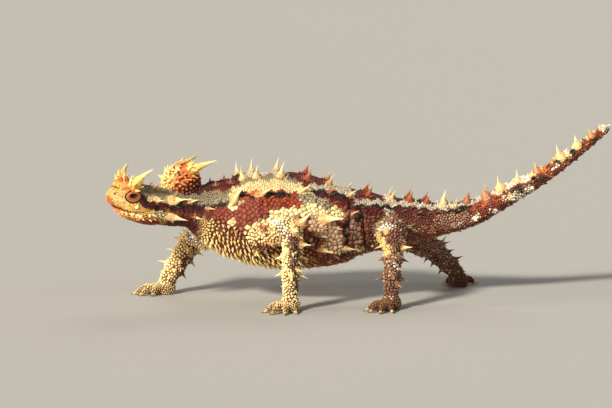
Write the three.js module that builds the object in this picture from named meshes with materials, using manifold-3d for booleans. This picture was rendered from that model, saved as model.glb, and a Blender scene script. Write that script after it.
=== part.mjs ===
// A thorny devil, a small desert lizard, as a life-size model in mid stride.
// Millimetres. The head points to -X, the animal's left side to -Y, and the ground is Z = 0.
import * as THREE from "three";
import { mergeVertices } from "three/addons/utils/BufferGeometryUtils.js";
import Module from "manifold-3d";

const wasm = await Module();
wasm.setup();

const DEG = Math.PI / 180;

// Driving sizes
const SEAM = 0.3;
const SINK = 0.9;
const BIG_THORN = 3.3;
const SMALL_THORN = 2.2;
const SEED = 0.4405;
const WOBBLE_STEPS = [12.9898, 78.233, 37.719, 4.581, 9.277];
const FINEST_EDGE = 0.02;
const HEAD_YAW = 17 * DEG;
const HEAD_BACK = new THREE.Vector3(-50.2, -7.4, 32.6);
const EYE_RADIUS = 2.3;
const LID_THICKNESS = 0.55;
const EYE_PLACE = { forward: 7.2, out: 5.7, height: 3.9 };
const BROW = { forward: 7.3, out: 5.3, height: 5.6, radii: [3.9, 2.5, 2.7] };
const BROW_HORN = { root: [6.8, 5.7, 6.9], tip: [2.2, 11.2, 12.4], radius: 2.5 };
const KNOB_CENTRE = new THREE.Vector3(-39.2, -3.6, 40.0);
const KNOB_RADII = [6.6, 6.2, 6.0];
const KNOB_GAP = 1.1;
const KNOB_HORN = { out: 3.4, back: 1.6, up: 3.6, tipOut: 7.0, tipBack: 8.0, tipZ: 46.0, radius: 2.4 };
const KNOB_THORNS = { count: 6, spread: 62, height: 2.3, radius: 0.9 };
const PALM_HEIGHT = 3.4;
const WRIST_REACH = 1.5;
const TOE_RADIUS = 1.1;
const CLAW_LENGTH = 1.9;

// Stations along the neck, trunk and tail: x, y, z, half width, half height above, half height below
const TRUNK_STATIONS = [
  [-50, -7.2, 32.9, 6.6, 6.1, 6.3],
  [-43, -5.2, 31.9, 6.6, 6.0, 6.4],
  [-36.3, -3.2, 31.6, 7.6, 6.5, 7.2],
  [-29.7, -1.3, 30.0, 11.0, 9.6, 10.6],
  [-23, 0.0, 28.0, 16.0, 13.0, 13.6],
  [-16.5, 0.3, 27.2, 19.3, 14.8, 15.2],
  [-8, 0.6, 26.6, 21.2, 15.6, 16.2],
  [0, 0.6, 26.2, 21.6, 15.1, 15.8],
  [6.6, 0.4, 25.8, 20.6, 14.0, 14.9],
  [13, 0.2, 25.3, 17.8, 12.4, 13.3],
  [19.8, 0.0, 25.4, 14.0, 10.3, 10.6],
  [26.4, 0.0, 25.3, 11.5, 9.0, 9.3],
  [33, -0.2, 25.4, 9.8, 7.8, 8.1],
  [39.6, -0.5, 25.9, 8.0, 6.5, 6.7],
  [45.5, -1.0, 26.1, 6.6, 5.5, 5.5],
  [56.8, -2.5, 28.2, 5.0, 4.2, 4.1],
  [68, -4.2, 34.0, 3.9, 3.35, 3.3],
  [80, -6.0, 41.0, 2.9, 2.5, 2.5],
  [92, -7.8, 49.8, 2.0, 1.8, 1.75],
  [101, -9.0, 57.2, 1.35, 1.25, 1.2],
];

// Stations of the head: forward from its back, centre height, half width, half height above, below
const HEAD_STATIONS = [
  [-6, 32.2, 6.3, 5.6, 5.6],
  [-2, 32.4, 7.0, 6.3, 6.4],
  [1, 33.0, 7.7, 6.3, 6.5],
  [4, 33.7, 8.2, 6.3, 6.2],
  [7, 34.5, 8.0, 6.1, 5.9],
  [9.6, 34.8, 6.7, 5.4, 5.2],
  [11.4, 34.6, 5.4, 4.0, 4.4],
  [12.5, 34.1, 4.2, 2.9, 3.5],
  [13.2, 33.6, 3.1, 2.1, 2.5],
];

// Where the trunk is parted, as x of its line: neck, torso, hips and three lengths of tail
const TRUNK_CUTS = [-48.0, -29.0, 19.0, 44.5, 60.0, 82.8];

// Limbs: the joints as points, and half thicknesses at root, middle and end of each segment
const LIMBS = {
  fore_left: {
    names: ["upper_arm_left", "forearm_left", "hand_left"],
    side: -1,
    root: [-17, -13.5, 21.5],
    bend: [-4.6, -26.6, 27.2],
    end: [-5.4, -25, 4.4],
    upper: [4.6, 4.3, 3.8],
    lower: [3.8, 3.3, 2.7],
    heading: 232,
    fan: [-60, -30, 0, 30, 62],
    toes: [4.6, 6.2, 6.9, 6.4, 4.8],
  },
  fore_right: {
    names: ["upper_arm_right", "forearm_right", "hand_right"],
    side: 1,
    root: [-22, 11, 20.5],
    bend: [-33.8, 18.5, 18.4],
    end: [-43.6, 15.4, 4.2],
    upper: [4.8, 4.6, 4.2],
    lower: [4.0, 3.6, 2.9],
    heading: 186,
    fan: [58, 28, 0, -30, -60],
    toes: [4.6, 6.2, 6.9, 6.4, 4.8],
  },
  hind_left: {
    names: ["thigh_left", "shank_left", "foot_left"],
    side: -1,
    root: [28, -6, 23.5],
    bend: [28.6, -22.5, 24.6],
    end: [27.4, -25, 3.8],
    upper: [5.2, 4.9, 4.2],
    lower: [3.8, 3.2, 2.6],
    heading: 222,
    fan: [-50, -24, 2, 28, 56],
    toes: [4.2, 5.6, 6.8, 7.4, 5.4],
  },
  hind_right: {
    names: ["thigh_right", "shank_right", "foot_right"],
    side: 1,
    root: [30, 6, 23],
    bend: [45.4, 19.0, 14.4],
    end: [55.8, 23.0, 4.1],
    upper: [5.2, 4.9, 4.2],
    lower: [4.0, 3.4, 2.8],
    heading: 84,
    fan: [50, 24, -2, -28, -56],
    toes: [4.2, 5.6, 6.8, 7.4, 5.4],
  },
};

// The double row of spines along the neck, back and tail: x of each pair and its height
const TOP_SPINES = [
  [-46.0, 3.4],
  [-30.8, 2.4],
  [-26.9, 2.6],
  [-21.2, 4.6],
  [-16.3, 4.6],
  [-7.8, 5.2],
  [1.1, 4.6],
  [8.0, 4.4],
  [21.7, 4.4],
  [29.8, 3.8],
  [36.5, 4.8],
  [41.3, 4.0],
  [47.9, 4.6],
  [56.4, 4.6],
  [63.1, 3.6],
  [67.6, 4.2],
  [72.9, 3.2],
  [79.0, 3.0],
  [86.4, 4.0],
  [91.9, 3.3],
  [96.0, 2.6],
  [99.2, 1.8],
];
const TOP_ROW = { angle: [18, 24], foot: 0.34, lean: 0.12 };

// Spines of the sides: x, angle from the middle of the back, height, and lean towards the tail
const SIDE_SPINES = [
  [-43.6, 64, 5.2, 2.6],
  [-43.6, 114, 4.6, 2.6],
  [-38.4, 68, 2.6, 1.6],
  [-37.0, 110, 2.8, 1.6],
  [-33.4, 84, 2.4, 1.2],
  [-27.2, 69, 2.0, 0.6],
  [-26.0, 57, 6.2, 0.6],
  [-26.0, 96, 2.2, 0.8],
  [-15.3, 51, 5.2, 1.1],
  [-1.0, 43, 3.4, 0.85],
  [8.0, 37, 3.5, 0.55],
  [15.8, 32, 3.7, 0.55],
  [6.9, 77, 6.0, 1.5],
  [16.0, 65, 2.8, 0.6],
  [6.7, 114, 3.8, 1.8],
  [14.2, 117, 3.4, 1.8],
  [52.0, 37, 2.0, 0.1],
  [69.1, 97, 2.2, 0.6],
];
const SIDE_FOOT = 0.32;

// Rows of smaller thorns: the share of the trunk's line where a row starts and ends, how many,
// the angle from the middle of the back at both ends, height at the start, middle and end,
// the width of a thorn's foot as a share of its height, and how far it leans to the tail
const THORN_ROWS = [
  { from: 0.24, to: 0.46, count: 5, angle: [98, 92], height: [1.8, 2.2, 1.8], foot: 0.38, lean: 0.9 },
  { from: 0.22, to: 0.46, count: 7, angle: [128, 126], height: [2.0, 2.6, 2.4], foot: 0.38, lean: 0.9 },
];
const TAIL_ROWS = { from: 0.5, to: 0.975, rings: 12, angles: [62, 112], height: [2.6, 1.2], lean: 0.35 };
const BELLY = { from: 0.13, to: 0.5, spacing: 8.6, height: 1.3, radius: 0.75, edge: 118 };

// Rows of thorns along a limb's segments: each row's angle and its share of the full height
const UPPER_THORNS = {
  rows: [
    [0, 1.1],
    [72, 1.1],
    [144, 0.6],
    [216, 0.6],
    [288, 1.1],
  ],
  count: 3,
  radius: 0.9,
  lean: 0.6,
  from: 0.35,
  to: 0.9,
};
const LOWER_THORNS = {
  rows: [
    [8, 1.15],
    [50, 0.7],
    [92, 1.05],
    [134, 0.7],
    [176, 1.1],
    [260, 0.5],
  ],
  count: 4,
  radius: 0.85,
  lean: 0.25,
  from: 0.08,
  to: 0.86,
  swell: 0.35,
};
const LIMB_HEIGHTS = { fore: [2.4, 2.3], hind: [2.6, 2.5] };

// Large thorns of each elbow and knee: share of the segment, angle from its front, height, radius
const JOINT_THORNS = [
  [0.04, 160, 5.8, 1.5],
  [0.12, 100, 3.6, 1.15],
  [0.1, 35, 3.8, 1.15],
  [0.3, 150, 3.6, 1.1],
];

// The tuft of slender spines at the front of each elbow
const JOINT_LEAN = -0.3;
const ELBOW_TUFT = [
  [0.03, -22, 3.0, 0.75],
  [0.08, 10, 3.2, 0.75],
  [0.15, -10, 2.8, 0.7],
  [0.21, 18, 2.4, 0.7],
];

// Spurs round the foot of each horn: turn about it, share of its length, size
const HORN_SPURS = [
  [10, 0.12, 1.7],
  [95, 0.2, 1.5],
  [180, 0.1, 1.6],
  [265, 0.22, 1.3],
];

// The line of the mouth in the head's own frame: forward and up
const MOUTH_LINE = [
  [17, 1.25],
  [14.3, 0.8],
  [11.3, -0.2],
  [9.2, -1.0],
  [6.0, -1.5],
  [3.9, -1.2],
];
const MOUTH_HALF = 0.2;
const MOUTH_DEPTH = 0.55;

// Thorns of each side of the head: share of its line, angle, height, radius, lean
const HEAD_THORNS = [
  [0.34, 112, 2.0, 0.8, -0.8],
  [0.3, 70, 2.6, 0.95, -0.9],
  [0.3, 22, 3.0, 0.9, -0.3],
  [0.42, 34, 2.6, 0.8, -0.3],
  [0.72, 22, 1.2, 0.6, 0],
  [0.8, 46, 1.1, 0.55, 0],
  [0.86, 64, 0.8, 0.5, 0],
];
const JAW_THORNS = { count: 7, share: [0.3, 0.86], angle: [122, 138], height: [1.7, 0.8], radius: 0.6 };

// A repeatable value between -1 and 1 for a set of whole numbers
function wobble(...keys) {
  const turn = keys.reduce((sum, key, i) => sum + key * WOBBLE_STEPS[i], SEED);
  const large = Math.sin(turn) * 43758.5453;
  return 2 * (large - Math.floor(large)) - 1;
}
const mix = (a, b, t) => a + (b - a) * t;
const mixThree = ([a, b, c], t) => (t < 0.5 ? mix(a, b, 2 * t) : mix(b, c, 2 * t - 1));
const vector = (list) => new THREE.Vector3(...list);

// Solids for joining and cutting, and back to geometry for the meshes
function solid(geometry) {
  const bare = geometry.clone();
  for (const name of ["normal", "uv"]) bare.deleteAttribute(name);
  const merged = mergeVertices(bare, 1e-4);
  const mesh = new wasm.Mesh({
    numProp: 3,
    vertProperties: new Float32Array(merged.attributes.position.array),
    triVerts: new Uint32Array(merged.index.array),
  });
  return new wasm.Manifold(mesh);
}

function largest(made) {
  const bodies = made.decompose();
  return bodies.reduce((best, body) => (body.volume() > best.volume() ? body : best));
}

function geometryOf(made) {
  const { numProp, vertProperties, triVerts } = made.getMesh();
  const places = new Float32Array((vertProperties.length / numProp) * 3);
  for (let i = 0; i < places.length / 3; i++)
    places.set(vertProperties.subarray(i * numProp, i * numProp + 3), i * 3);
  const geometry = new THREE.BufferGeometry();
  geometry.setAttribute("position", new THREE.BufferAttribute(places, 3));
  geometry.setIndex(new THREE.BufferAttribute(new Uint32Array(triVerts), 1));
  geometry.computeVertexNormals();
  return geometry;
}

// A closed body swept along a smooth line through stations of
// x, y, z, half width, half height above, half height below
class Loft {
  constructor(stations, upHint, { belly = 1, caps = [1, 1] } = {}) {
    const curve = (points) => new THREE.CatmullRomCurve3(points, false, "catmullrom", 0.5);
    this.line = curve(stations.map((s) => vector(s.slice(0, 3))));
    this.sizes = curve(stations.map((s) => vector(s.slice(3, 6))));
    this.upHint = vector(upHint);
    this.belly = belly;
    this.length = this.line.getLength();
    this.caps = caps;
  }

  // The line's frame and the section's half sizes at a share of its length
  at(share) {
    const t = this.line.getUtoTmapping(THREE.MathUtils.clamp(share, 0, 1));
    const along = this.line.getTangent(t);
    const up = this.upHint.clone().addScaledVector(along, -along.dot(this.upHint)).normalize();
    const size = this.sizes.getPoint(t);
    const ends = [share * this.length, (1 - share) * this.length];
    const cap = ends.map((d, i) => Math.sqrt(1 - Math.max(0, 1 - d / this.caps[i]) ** 2));
    return {
      centre: this.line.getPoint(t),
      along,
      up,
      side: along.clone().cross(up),
      size: size.multiplyScalar(Math.min(...cap)),
    };
  }

  // A point of the surface. The angle runs from the top towards the side, and lift is outwards.
  point(share, angle, lift = 0) {
    const { centre, up, side, size } = this.at(share);
    const high = Math.cos(angle);
    const out = Math.sin(angle);
    const power = high < 0 ? this.belly : 1;
    const rise = Math.sign(high) * Math.abs(high) ** power;
    const reach = Math.sign(out) * Math.abs(out) ** power;
    return centre
      .addScaledVector(side, reach * (size.x + lift))
      .addScaledVector(up, rise * ((high > 0 ? size.y : size.z) + lift));
  }

  normal(share, angle) {
    const step = 0.01;
    const s = THREE.MathUtils.clamp(share, step, 1 - step);
    const length = this.point(s + step, angle).sub(this.point(s - step, angle));
    const round = this.point(s, angle + step).sub(this.point(s, angle - step));
    return round.cross(length).normalize();
  }

  // The closed mesh, with its end caps rounded over the cap lengths
  solid(steps, around, lift = 0) {
    const [first, last] = this.caps.map((cap) => cap / this.length);
    const shares = [0.29 * first];
    for (let i = 0; i <= steps; i++) shares.push(mix(first, 1 - last, i / steps));
    shares.push(1 - 0.29 * last);
    const points = [];
    for (const share of shares)
      for (let k = 0; k < around; k++) points.push(this.point(share, (2 * Math.PI * k) / around, lift));
    const ends = [0, 1].map((share) => {
      const { centre, along } = this.at(share);
      return centre.addScaledVector(along, (2 * share - 1) * lift);
    });
    const faces = [];
    const ring = (row, k) => row * around + (k % around);
    const [start, end] = [points.length, points.length + 1];
    const final = shares.length - 1;
    for (let k = 0; k < around; k++) {
      faces.push(start, ring(0, k), ring(0, k + 1));
      faces.push(end, ring(final, k + 1), ring(final, k));
      for (let row = 0; row < final; row++) {
        faces.push(ring(row, k), ring(row + 1, k), ring(row, k + 1));
        faces.push(ring(row, k + 1), ring(row + 1, k), ring(row + 1, k + 1));
      }
    }
    const geometry = new THREE.BufferGeometry().setFromPoints([...points, ...ends]);
    geometry.setIndex(faces);
    const made = solid(geometry);
    if (made.volume() > 0) return made;
    geometry.setIndex(faces.reverse());
    return solid(geometry);
  }

  // The share of the line nearest to a point
  nearest(point) {
    const tries = Array.from({ length: 101 }, (_, i) => i / 100);
    const gap = (share) => this.at(share).centre.distanceTo(point);
    return tries.reduce((best, share) => (gap(share) < gap(best) ? share : best));
  }

  // True if the point is inside the surface grown by the margin
  holds(point, margin) {
    const { centre, up, side, size } = this.at(this.nearest(point));
    const offset = point.clone().sub(centre);
    const high = offset.dot(up);
    const out = offset.dot(side) / (size.x + margin);
    return Math.hypot(high / ((high > 0 ? size.y : size.z) + margin), out) < 1;
  }
}

const trunk = new Loft(TRUNK_STATIONS, [0, 0, 1], { belly: 0.86, caps: [1.5, 1.1] });

// The head's own frame: forward, left and up from the middle of its back
const forward = new THREE.Vector3(-Math.cos(HEAD_YAW), -Math.sin(HEAD_YAW), 0);
const left = new THREE.Vector3(Math.sin(HEAD_YAW), -Math.cos(HEAD_YAW), 0);
function inHead(ahead, toLeft, up) {
  return HEAD_BACK.clone()
    .addScaledVector(forward, ahead)
    .addScaledVector(left, toLeft)
    .add(new THREE.Vector3(0, 0, up));
}
const headStations = HEAD_STATIONS.map(([ahead, z, ...sizes]) => [
  ...inHead(ahead, 0, z - HEAD_BACK.z).toArray(),
  ...sizes,
]);
const skull = new Loft(headStations, [0, 0, 1], { caps: [1.5, 1.3] });

function ball(centre, radii, wide, high, turn = 0) {
  const geometry = new THREE.SphereGeometry(1, wide, high);
  geometry.scale(...radii);
  geometry.rotateZ(turn);
  geometry.translate(...centre.toArray());
  return solid(geometry);
}

// A thorn: a cone with a hollow flank, sunk in what it grows from, that bends towards a direction
function thorn(base, direction, height, radius, options = {}) {
  const plain = { sides: height > SMALL_THORN ? 5 : 4, steps: height > BIG_THORN ? 2 : 1 };
  const { sides, steps, flare = 0.52, bend = null } = { ...plain, ...options };
  const full = height + SINK;
  const geometry = new THREE.ConeGeometry(radius, full, sides, steps, false);
  const places = geometry.attributes.position;
  for (let i = 0; i < places.count; i++) {
    const share = places.getY(i) / full + 0.5;
    const slim = share > 0.01 && share < 0.99 ? flare / 0.5 : 1;
    places.setXYZ(i, places.getX(i) * slim, places.getY(i) + full / 2 - SINK, places.getZ(i) * slim);
  }
  const turn = new THREE.Quaternion().setFromUnitVectors(new THREE.Vector3(0, 1, 0), direction);
  geometry.applyQuaternion(turn);
  if (bend)
    for (let i = 0; i < places.count; i++) {
      const place = new THREE.Vector3().fromBufferAttribute(places, i);
      const up = Math.max(0, place.dot(direction) / height);
      place.addScaledVector(bend, up * up * height);
      places.setXYZ(i, place.x, place.y, place.z);
    }
  geometry.translate(...base.toArray());
  return solid(geometry);
}

// A thorn on a loft, leaning along its line
function thornOn(loft, share, angle, height, radius, lean = 0, options = {}) {
  const base = loft.point(share, angle);
  const direction = loft.normal(share, angle).addScaledVector(loft.at(share).along, lean).normalize();
  const tip = base.clone().addScaledVector(direction, height);
  return { base, tip, share, angle, height, radius, direction, options };
}
const grow = (t) => thorn(t.base, t.direction, t.height, t.radius, t.options);

// The limbs' plain shapes
function limbLofts(limb) {
  const [root, bend, end] = [limb.root, limb.bend, limb.end].map(vector);
  const segment = (a, b, sizes, hint) => {
    const stations = sizes.map((r, i) => {
      const place = a.clone().lerp(b, i / 2);
      return [...place.toArray(), r, r, r];
    });
    return new Loft(stations, hint, { caps: [sizes[0] * 0.9, sizes[2] * 0.9] });
  };
  const over = (a, b, length) => b.clone().addScaledVector(b.clone().sub(a).normalize(), length);
  const upper = segment(root, over(root, bend, limb.upper[2] * 0.5), limb.upper, [0, 0, 1]);
  const top = over(end, bend, limb.lower[0] * 0.75);
  const lower = segment(top, over(bend, end, WRIST_REACH), limb.lower, [-1, 0, 0]);
  return { upper, lower };
}
const limbs = Object.fromEntries(
  Object.entries(LIMBS).map(([key, limb]) => [key, { ...limb, ...limbLofts(limb) }]),
);
const limbShapes = Object.values(limbs).flatMap((limb) => [limb.upper, limb.lower]);

// A thorn is left out where it would cross another node's plain shape
function isClear(t, others, margin = 0.5) {
  return [0.15, 0.6, 1].every((share) => {
    const place = t.base.clone().lerp(t.tip, share);
    return others.every((loft) => !loft.holds(place, margin + t.radius * (1 - share)));
  });
}

// Palm or sole with five arched, clawed toes, cut flat at the ground
function paw(limb) {
  const wrist = vector(limb.end);
  const heading = limb.heading * DEG;
  const ahead = new THREE.Vector3(Math.cos(heading), Math.sin(heading), 0);
  const middle = wrist.clone().addScaledVector(ahead, 2.0).setZ(PALM_HEIGHT / 2 - 0.1);
  const pieces = [ball(middle, [3.6, 2.9, PALM_HEIGHT / 2 + 0.3], 9, 6, heading)];
  const heel = wrist.clone().setZ(2.2);
  pieces.push(ball(heel, [3.5, 3.5, 3.2], 8, 5, heading));
  limb.fan.forEach((spread, i) => {
    const way = new THREE.Vector3(Math.cos(heading + spread * DEG), Math.sin(heading + spread * DEG), 0);
    const length = limb.toes[i];
    const root = middle.clone().addScaledVector(way, 1.2).setZ(1.6);
    const knuckle = root.clone().addScaledVector(way, length * 0.5).setZ(2.3);
    const tip = root.clone().addScaledVector(way, length).setZ(0.62);
    const sizes = [1.15, 1.05, 0.75].map((share) => share * TOE_RADIUS);
    const stations = [root, knuckle, tip].map((p, k) => [...p.toArray(), sizes[k], sizes[k], sizes[k]]);
    const toe = new Loft(stations, [0, 0, 1], { caps: [0.5, 0.5] });
    pieces.push(toe.solid(3, 5));
    const claw = way.clone().setZ(-0.16).normalize();
    const nail = tip.clone().addScaledVector(way, 0.1);
    pieces.push(thorn(nail, claw, CLAW_LENGTH, 0.52, { sides: 4, steps: 1 }));
  });
  const ground = new THREE.BoxGeometry(60, 60, 10).translate(wrist.x, wrist.y, -5);
  return wasm.Manifold.union(pieces).subtract(solid(ground));
}

// Thorns of one limb segment: rows by angle, sparser on the inner side
function limbThorns(loft, key, { rows, count, height, radius, lean, from, to, side, swell = 0 }) {
  const made = [];
  rows.forEach(([angle, big], row) => {
    for (let i = 0; i < count; i++) {
      const share = mix(from, to, (i + (row % 2 ? 0.5 : 0) + 0.15 * wobble(key, row, i, 1)) / count);
      if (share > 0.94) continue;
      const ends = 1 + swell * Math.abs(1 - 2 * share);
      const tall = height * big * ends * (1 + 0.15 * wobble(key, row, i, 2));
      const turned = side * (angle + 4 * wobble(key, row, i, 3)) * DEG;
      made.push(thornOn(loft, share, turned, tall, radius * mix(0.8, 1, big), lean));
    }
  });
  return made;
}

// Thorns of the neck, trunk and tail, as a list to be shared out among the nodes
function trunkThorns() {
  const made = [];
  TOP_SPINES.forEach(([x, height], i) => {
    const angle = mix(...TOP_ROW.angle, i / (TOP_SPINES.length - 1)) * DEG;
    for (const side of [-1, 1]) {
      const share = shareAt(x) + 0.0015 * wobble(i, side, 1);
      const tall = height * (1 + 0.06 * wobble(i, side, 2));
      made.push(thornOn(trunk, share, side * angle, tall, Math.max(0.6, tall * TOP_ROW.foot), TOP_ROW.lean));
    }
  });
  SIDE_SPINES.forEach(([x, angle, height, lean], i) => {
    for (const side of [-1, 1]) {
      const tall = height * (1 + 0.05 * wobble(i, side, 3));
      made.push(thornOn(trunk, shareAt(x), side * angle * DEG, tall, Math.max(0.75, tall * SIDE_FOOT), lean));
    }
  });
  THORN_ROWS.forEach((row, r) => {
    for (const side of [-1, 1])
      for (let i = 0; i < row.count; i++) {
        const along = i / (row.count - 1);
        const share = mix(row.from, row.to, along) + 0.003 * (side + wobble(r, side, i, 1));
        const angle = side * (mix(...row.angle, along) + 2 * wobble(r, side, i, 2)) * DEG;
        const height = mixThree(row.height, along) * (1 + 0.14 * wobble(r, side, i, 3));
        const lean = row.lean * (1 + 0.2 * wobble(r, side, i, 4));
        made.push(thornOn(trunk, share, angle, height, Math.max(0.7, height * row.foot), lean));
      }
  });
  for (let ring = 0; ring < TAIL_ROWS.rings; ring++) {
    const along = ring / (TAIL_ROWS.rings - 1);
    TAIL_ROWS.angles.forEach((angle, row) => {
      for (const side of [-1, 1]) {
        const under = row ? 0.75 : 1;
        const height = mix(...TAIL_ROWS.height, along) * under * (1 + 0.16 * wobble(ring, row, side, 1));
        const share = mix(TAIL_ROWS.from, TAIL_ROWS.to, along) + (row ? 0 : 0.012);
        const turned = side * (angle + 3 * wobble(ring, row, side, 3)) * DEG;
        made.push(thornOn(trunk, share, turned, height, Math.max(0.6, height * 0.36), TAIL_ROWS.lean));
      }
    });
  }
  const rows = Math.round(((BELLY.to - BELLY.from) * trunk.length) / BELLY.spacing);
  for (let i = 0; i < rows; i++) {
    const share = mix(BELLY.from, BELLY.to, (i + 0.5) / rows);
    const { size } = trunk.at(share);
    const span = (360 - 2 * BELLY.edge) * DEG;
    const across = Math.max(2, Math.round((span * size.x) / BELLY.spacing));
    for (let k = 0; k <= across; k++) {
      const angle = BELLY.edge * DEG + (span * (k + 0.2 * wobble(i, k, 1) + (i % 2 ? 0.5 : 0))) / across;
      if (angle > 2 * Math.PI - BELLY.edge * DEG) continue;
      const height = BELLY.height * (1 + 0.25 * wobble(i, k, 2));
      made.push(thornOn(trunk, share, angle, height, BELLY.radius, 0.5, { steps: 1, sides: 4 }));
    }
  }
  return made;
}

// Flesh of the head, neck, trunk and tail, fused and then parted by thin cuts
function parted() {
  const whole = trunk.solid(36, 16).add(skull.solid(10, 16));
  const slabs = TRUNK_CUTS.map((x) => {
    const share = shareAt(x);
    const { centre, along, up, side } = trunk.at(share);
    const slab = new THREE.BoxGeometry(SEAM, 50, 50);
    slab.applyMatrix4(new THREE.Matrix4().makeBasis(along, up, side).setPosition(centre));
    return solid(slab);
  });
  const pieces = whole.subtract(wasm.Manifold.union(slabs)).decompose();
  const middle = (body) => body.boundingBox().min[0] + body.boundingBox().max[0];
  return pieces.filter((body) => body.volume() > 1).sort((a, b) => middle(a) - middle(b));
}

// The share of the trunk's line at an x
function shareAt(x) {
  const tries = Array.from({ length: 1001 }, (_, i) => i / 1000);
  return tries.reduce((best, share) => {
    const off = (s) => Math.abs(trunk.at(s).centre.x - x);
    return off(share) < off(best) ? share : best;
  });
}

const nodes = {};
const [headFlesh, neckFlesh, torsoFlesh, hipsFlesh, ...tailFlesh] = parted();

// The eyes, and the head round them: brow ridges, lids, nostrils, mouth line, ear cups
function head() {
  let made = headFlesh;
  for (const side of [-1, 1]) {
    const eye = inHead(EYE_PLACE.forward, -side * EYE_PLACE.out, EYE_PLACE.height);
    const gaze = left.clone().multiplyScalar(-side).addScaledVector(forward, 0.22).normalize();
    const brow = inHead(BROW.forward, -side * BROW.out, BROW.height);
    const lid = EYE_RADIUS + SEAM + LID_THICKNESS;
    made = made.add(ball(brow, BROW.radii, 10, 6, HEAD_YAW)).add(ball(eye, [lid, lid, lid], 12, 8));
    const socket = EYE_RADIUS + SEAM;
    const opening = new THREE.CylinderGeometry(1, 0.8, 5, 12);
    opening.scale(1.55, 1, 0.95).translate(0, 2.5, 0);
    const across = forward.clone();
    const basis = new THREE.Matrix4().makeBasis(across, gaze, across.clone().cross(gaze));
    opening.applyMatrix4(basis.setPosition(eye));
    made = made.subtract(ball(eye, [socket, socket, socket], 12, 8)).subtract(solid(opening));
    const nostril = skull.point(0.9, -side * -38 * DEG, -0.1);
    const ear = skull.point(0.26, -side * -94 * DEG, 0.2);
    made = made.subtract(ball(nostril, [0.5, 0.5, 0.5], 8, 6));
    made = made.subtract(ball(ear, [1.3, 0.9, 1.3], 10, 6, HEAD_YAW));
    nodes[side < 0 ? "eye_left" : "eye_right"] = ball(eye, [EYE_RADIUS, EYE_RADIUS, EYE_RADIUS], 12, 8);
  }
  return made.subtract(mouthGroove());
}

// A thin bent sheet across the head, less the head's core, so that it cuts a groove along the lips
function mouthGroove() {
  const above = MOUTH_LINE.map(([ahead, high]) => [ahead, high + MOUTH_HALF]);
  const below = MOUTH_LINE.map(([ahead, high]) => [ahead, high - MOUTH_HALF]);
  const edge = [...above, ...below.reverse()];
  const shape = new THREE.Shape(edge.map(([a, h]) => new THREE.Vector2(a, h)));
  const sheet = new THREE.ExtrudeGeometry(shape, { depth: 24, bevelEnabled: false }).translate(0, 0, -12);
  const basis = new THREE.Matrix4().makeBasis(forward, new THREE.Vector3(0, 0, 1), left.clone().negate());
  sheet.applyMatrix4(basis.setPosition(HEAD_BACK));
  return solid(sheet).subtract(skull.solid(10, 16, -MOUTH_DEPTH));
}

// Thorns of the head: jaw fringe, cheek, temple and crown
function headThorns() {
  const made = [];
  const { count, share, angle, height, radius } = JAW_THORNS;
  for (const side of [-1, 1]) {
    for (let i = 0; i < count; i++) {
      const along = i / (count - 1);
      const turned = side * mix(...angle, along) * DEG;
      made.push(thornOn(skull, mix(...share, along), turned, mix(...height, along), radius, -0.5));
    }
    for (const [place, turn, tall, foot, lean] of HEAD_THORNS)
      made.push(thornOn(skull, place, side * turn * DEG, tall, foot, lean));
  }
  return made;
}

// A large curved horn with small spurs at its foot
function horn(base, tip, radius, bend, spurs) {
  const way = tip.clone().sub(base);
  const length = way.length();
  way.normalize();
  const straight = way.clone().addScaledVector(bend, -0.5).normalize();
  const body = thorn(base, straight, length, radius, {
    sides: 9,
    flare: 0.62,
    steps: 4,
    bend: bend.clone().multiplyScalar(0.5),
  });
  const across = way.clone().cross(bend).normalize();
  const pieces = [body];
  for (const [turn, high, size] of spurs) {
    const out = across.clone().applyAxisAngle(way, turn * DEG);
    const foot = base.clone().addScaledVector(straight, high * length);
    foot.addScaledVector(out, radius * 0.6 * (1 - high));
    pieces.push(thorn(foot, out.addScaledVector(way, 1.1).normalize(), size, 0.7, { steps: 1 }));
  }
  return wasm.Manifold.union(pieces);
}

// Where a horn of the knob starts, on its upper back, and where it ends
function knobHornRoot(out) {
  const root = KNOB_CENTRE.clone().addScaledVector(out, KNOB_HORN.out);
  return root.addScaledVector(forward, -KNOB_HORN.back).add(new THREE.Vector3(0, 0, KNOB_HORN.up));
}
function knobHornTip(out) {
  const tip = KNOB_CENTRE.clone().addScaledVector(out, KNOB_HORN.tipOut);
  return tip.addScaledVector(forward, -KNOB_HORN.tipBack).setZ(KNOB_HORN.tipZ);
}

// Thorns in a fan over the front and side of the knob
function knobThorns(out) {
  const { count, spread, height, radius } = KNOB_THORNS;
  return Array.from({ length: count }, (_, i) => {
    const turn = mix(-spread, spread, i / (count - 1)) * DEG;
    const way = forward
      .clone()
      .applyAxisAngle(out, Math.abs(turn) * 0.2)
      .multiplyScalar(Math.cos(turn) * 0.9)
      .addScaledVector(out, 0.75)
      .addScaledVector(new THREE.Vector3(0, 0, 1), Math.sin(turn))
      .normalize();
    const place = KNOB_CENTRE.clone().add(way.clone().multiply(vector(KNOB_RADII)));
    return thorn(place, way.clone().addScaledVector(forward, -0.3).normalize(), height, radius);
  });
}

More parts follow.
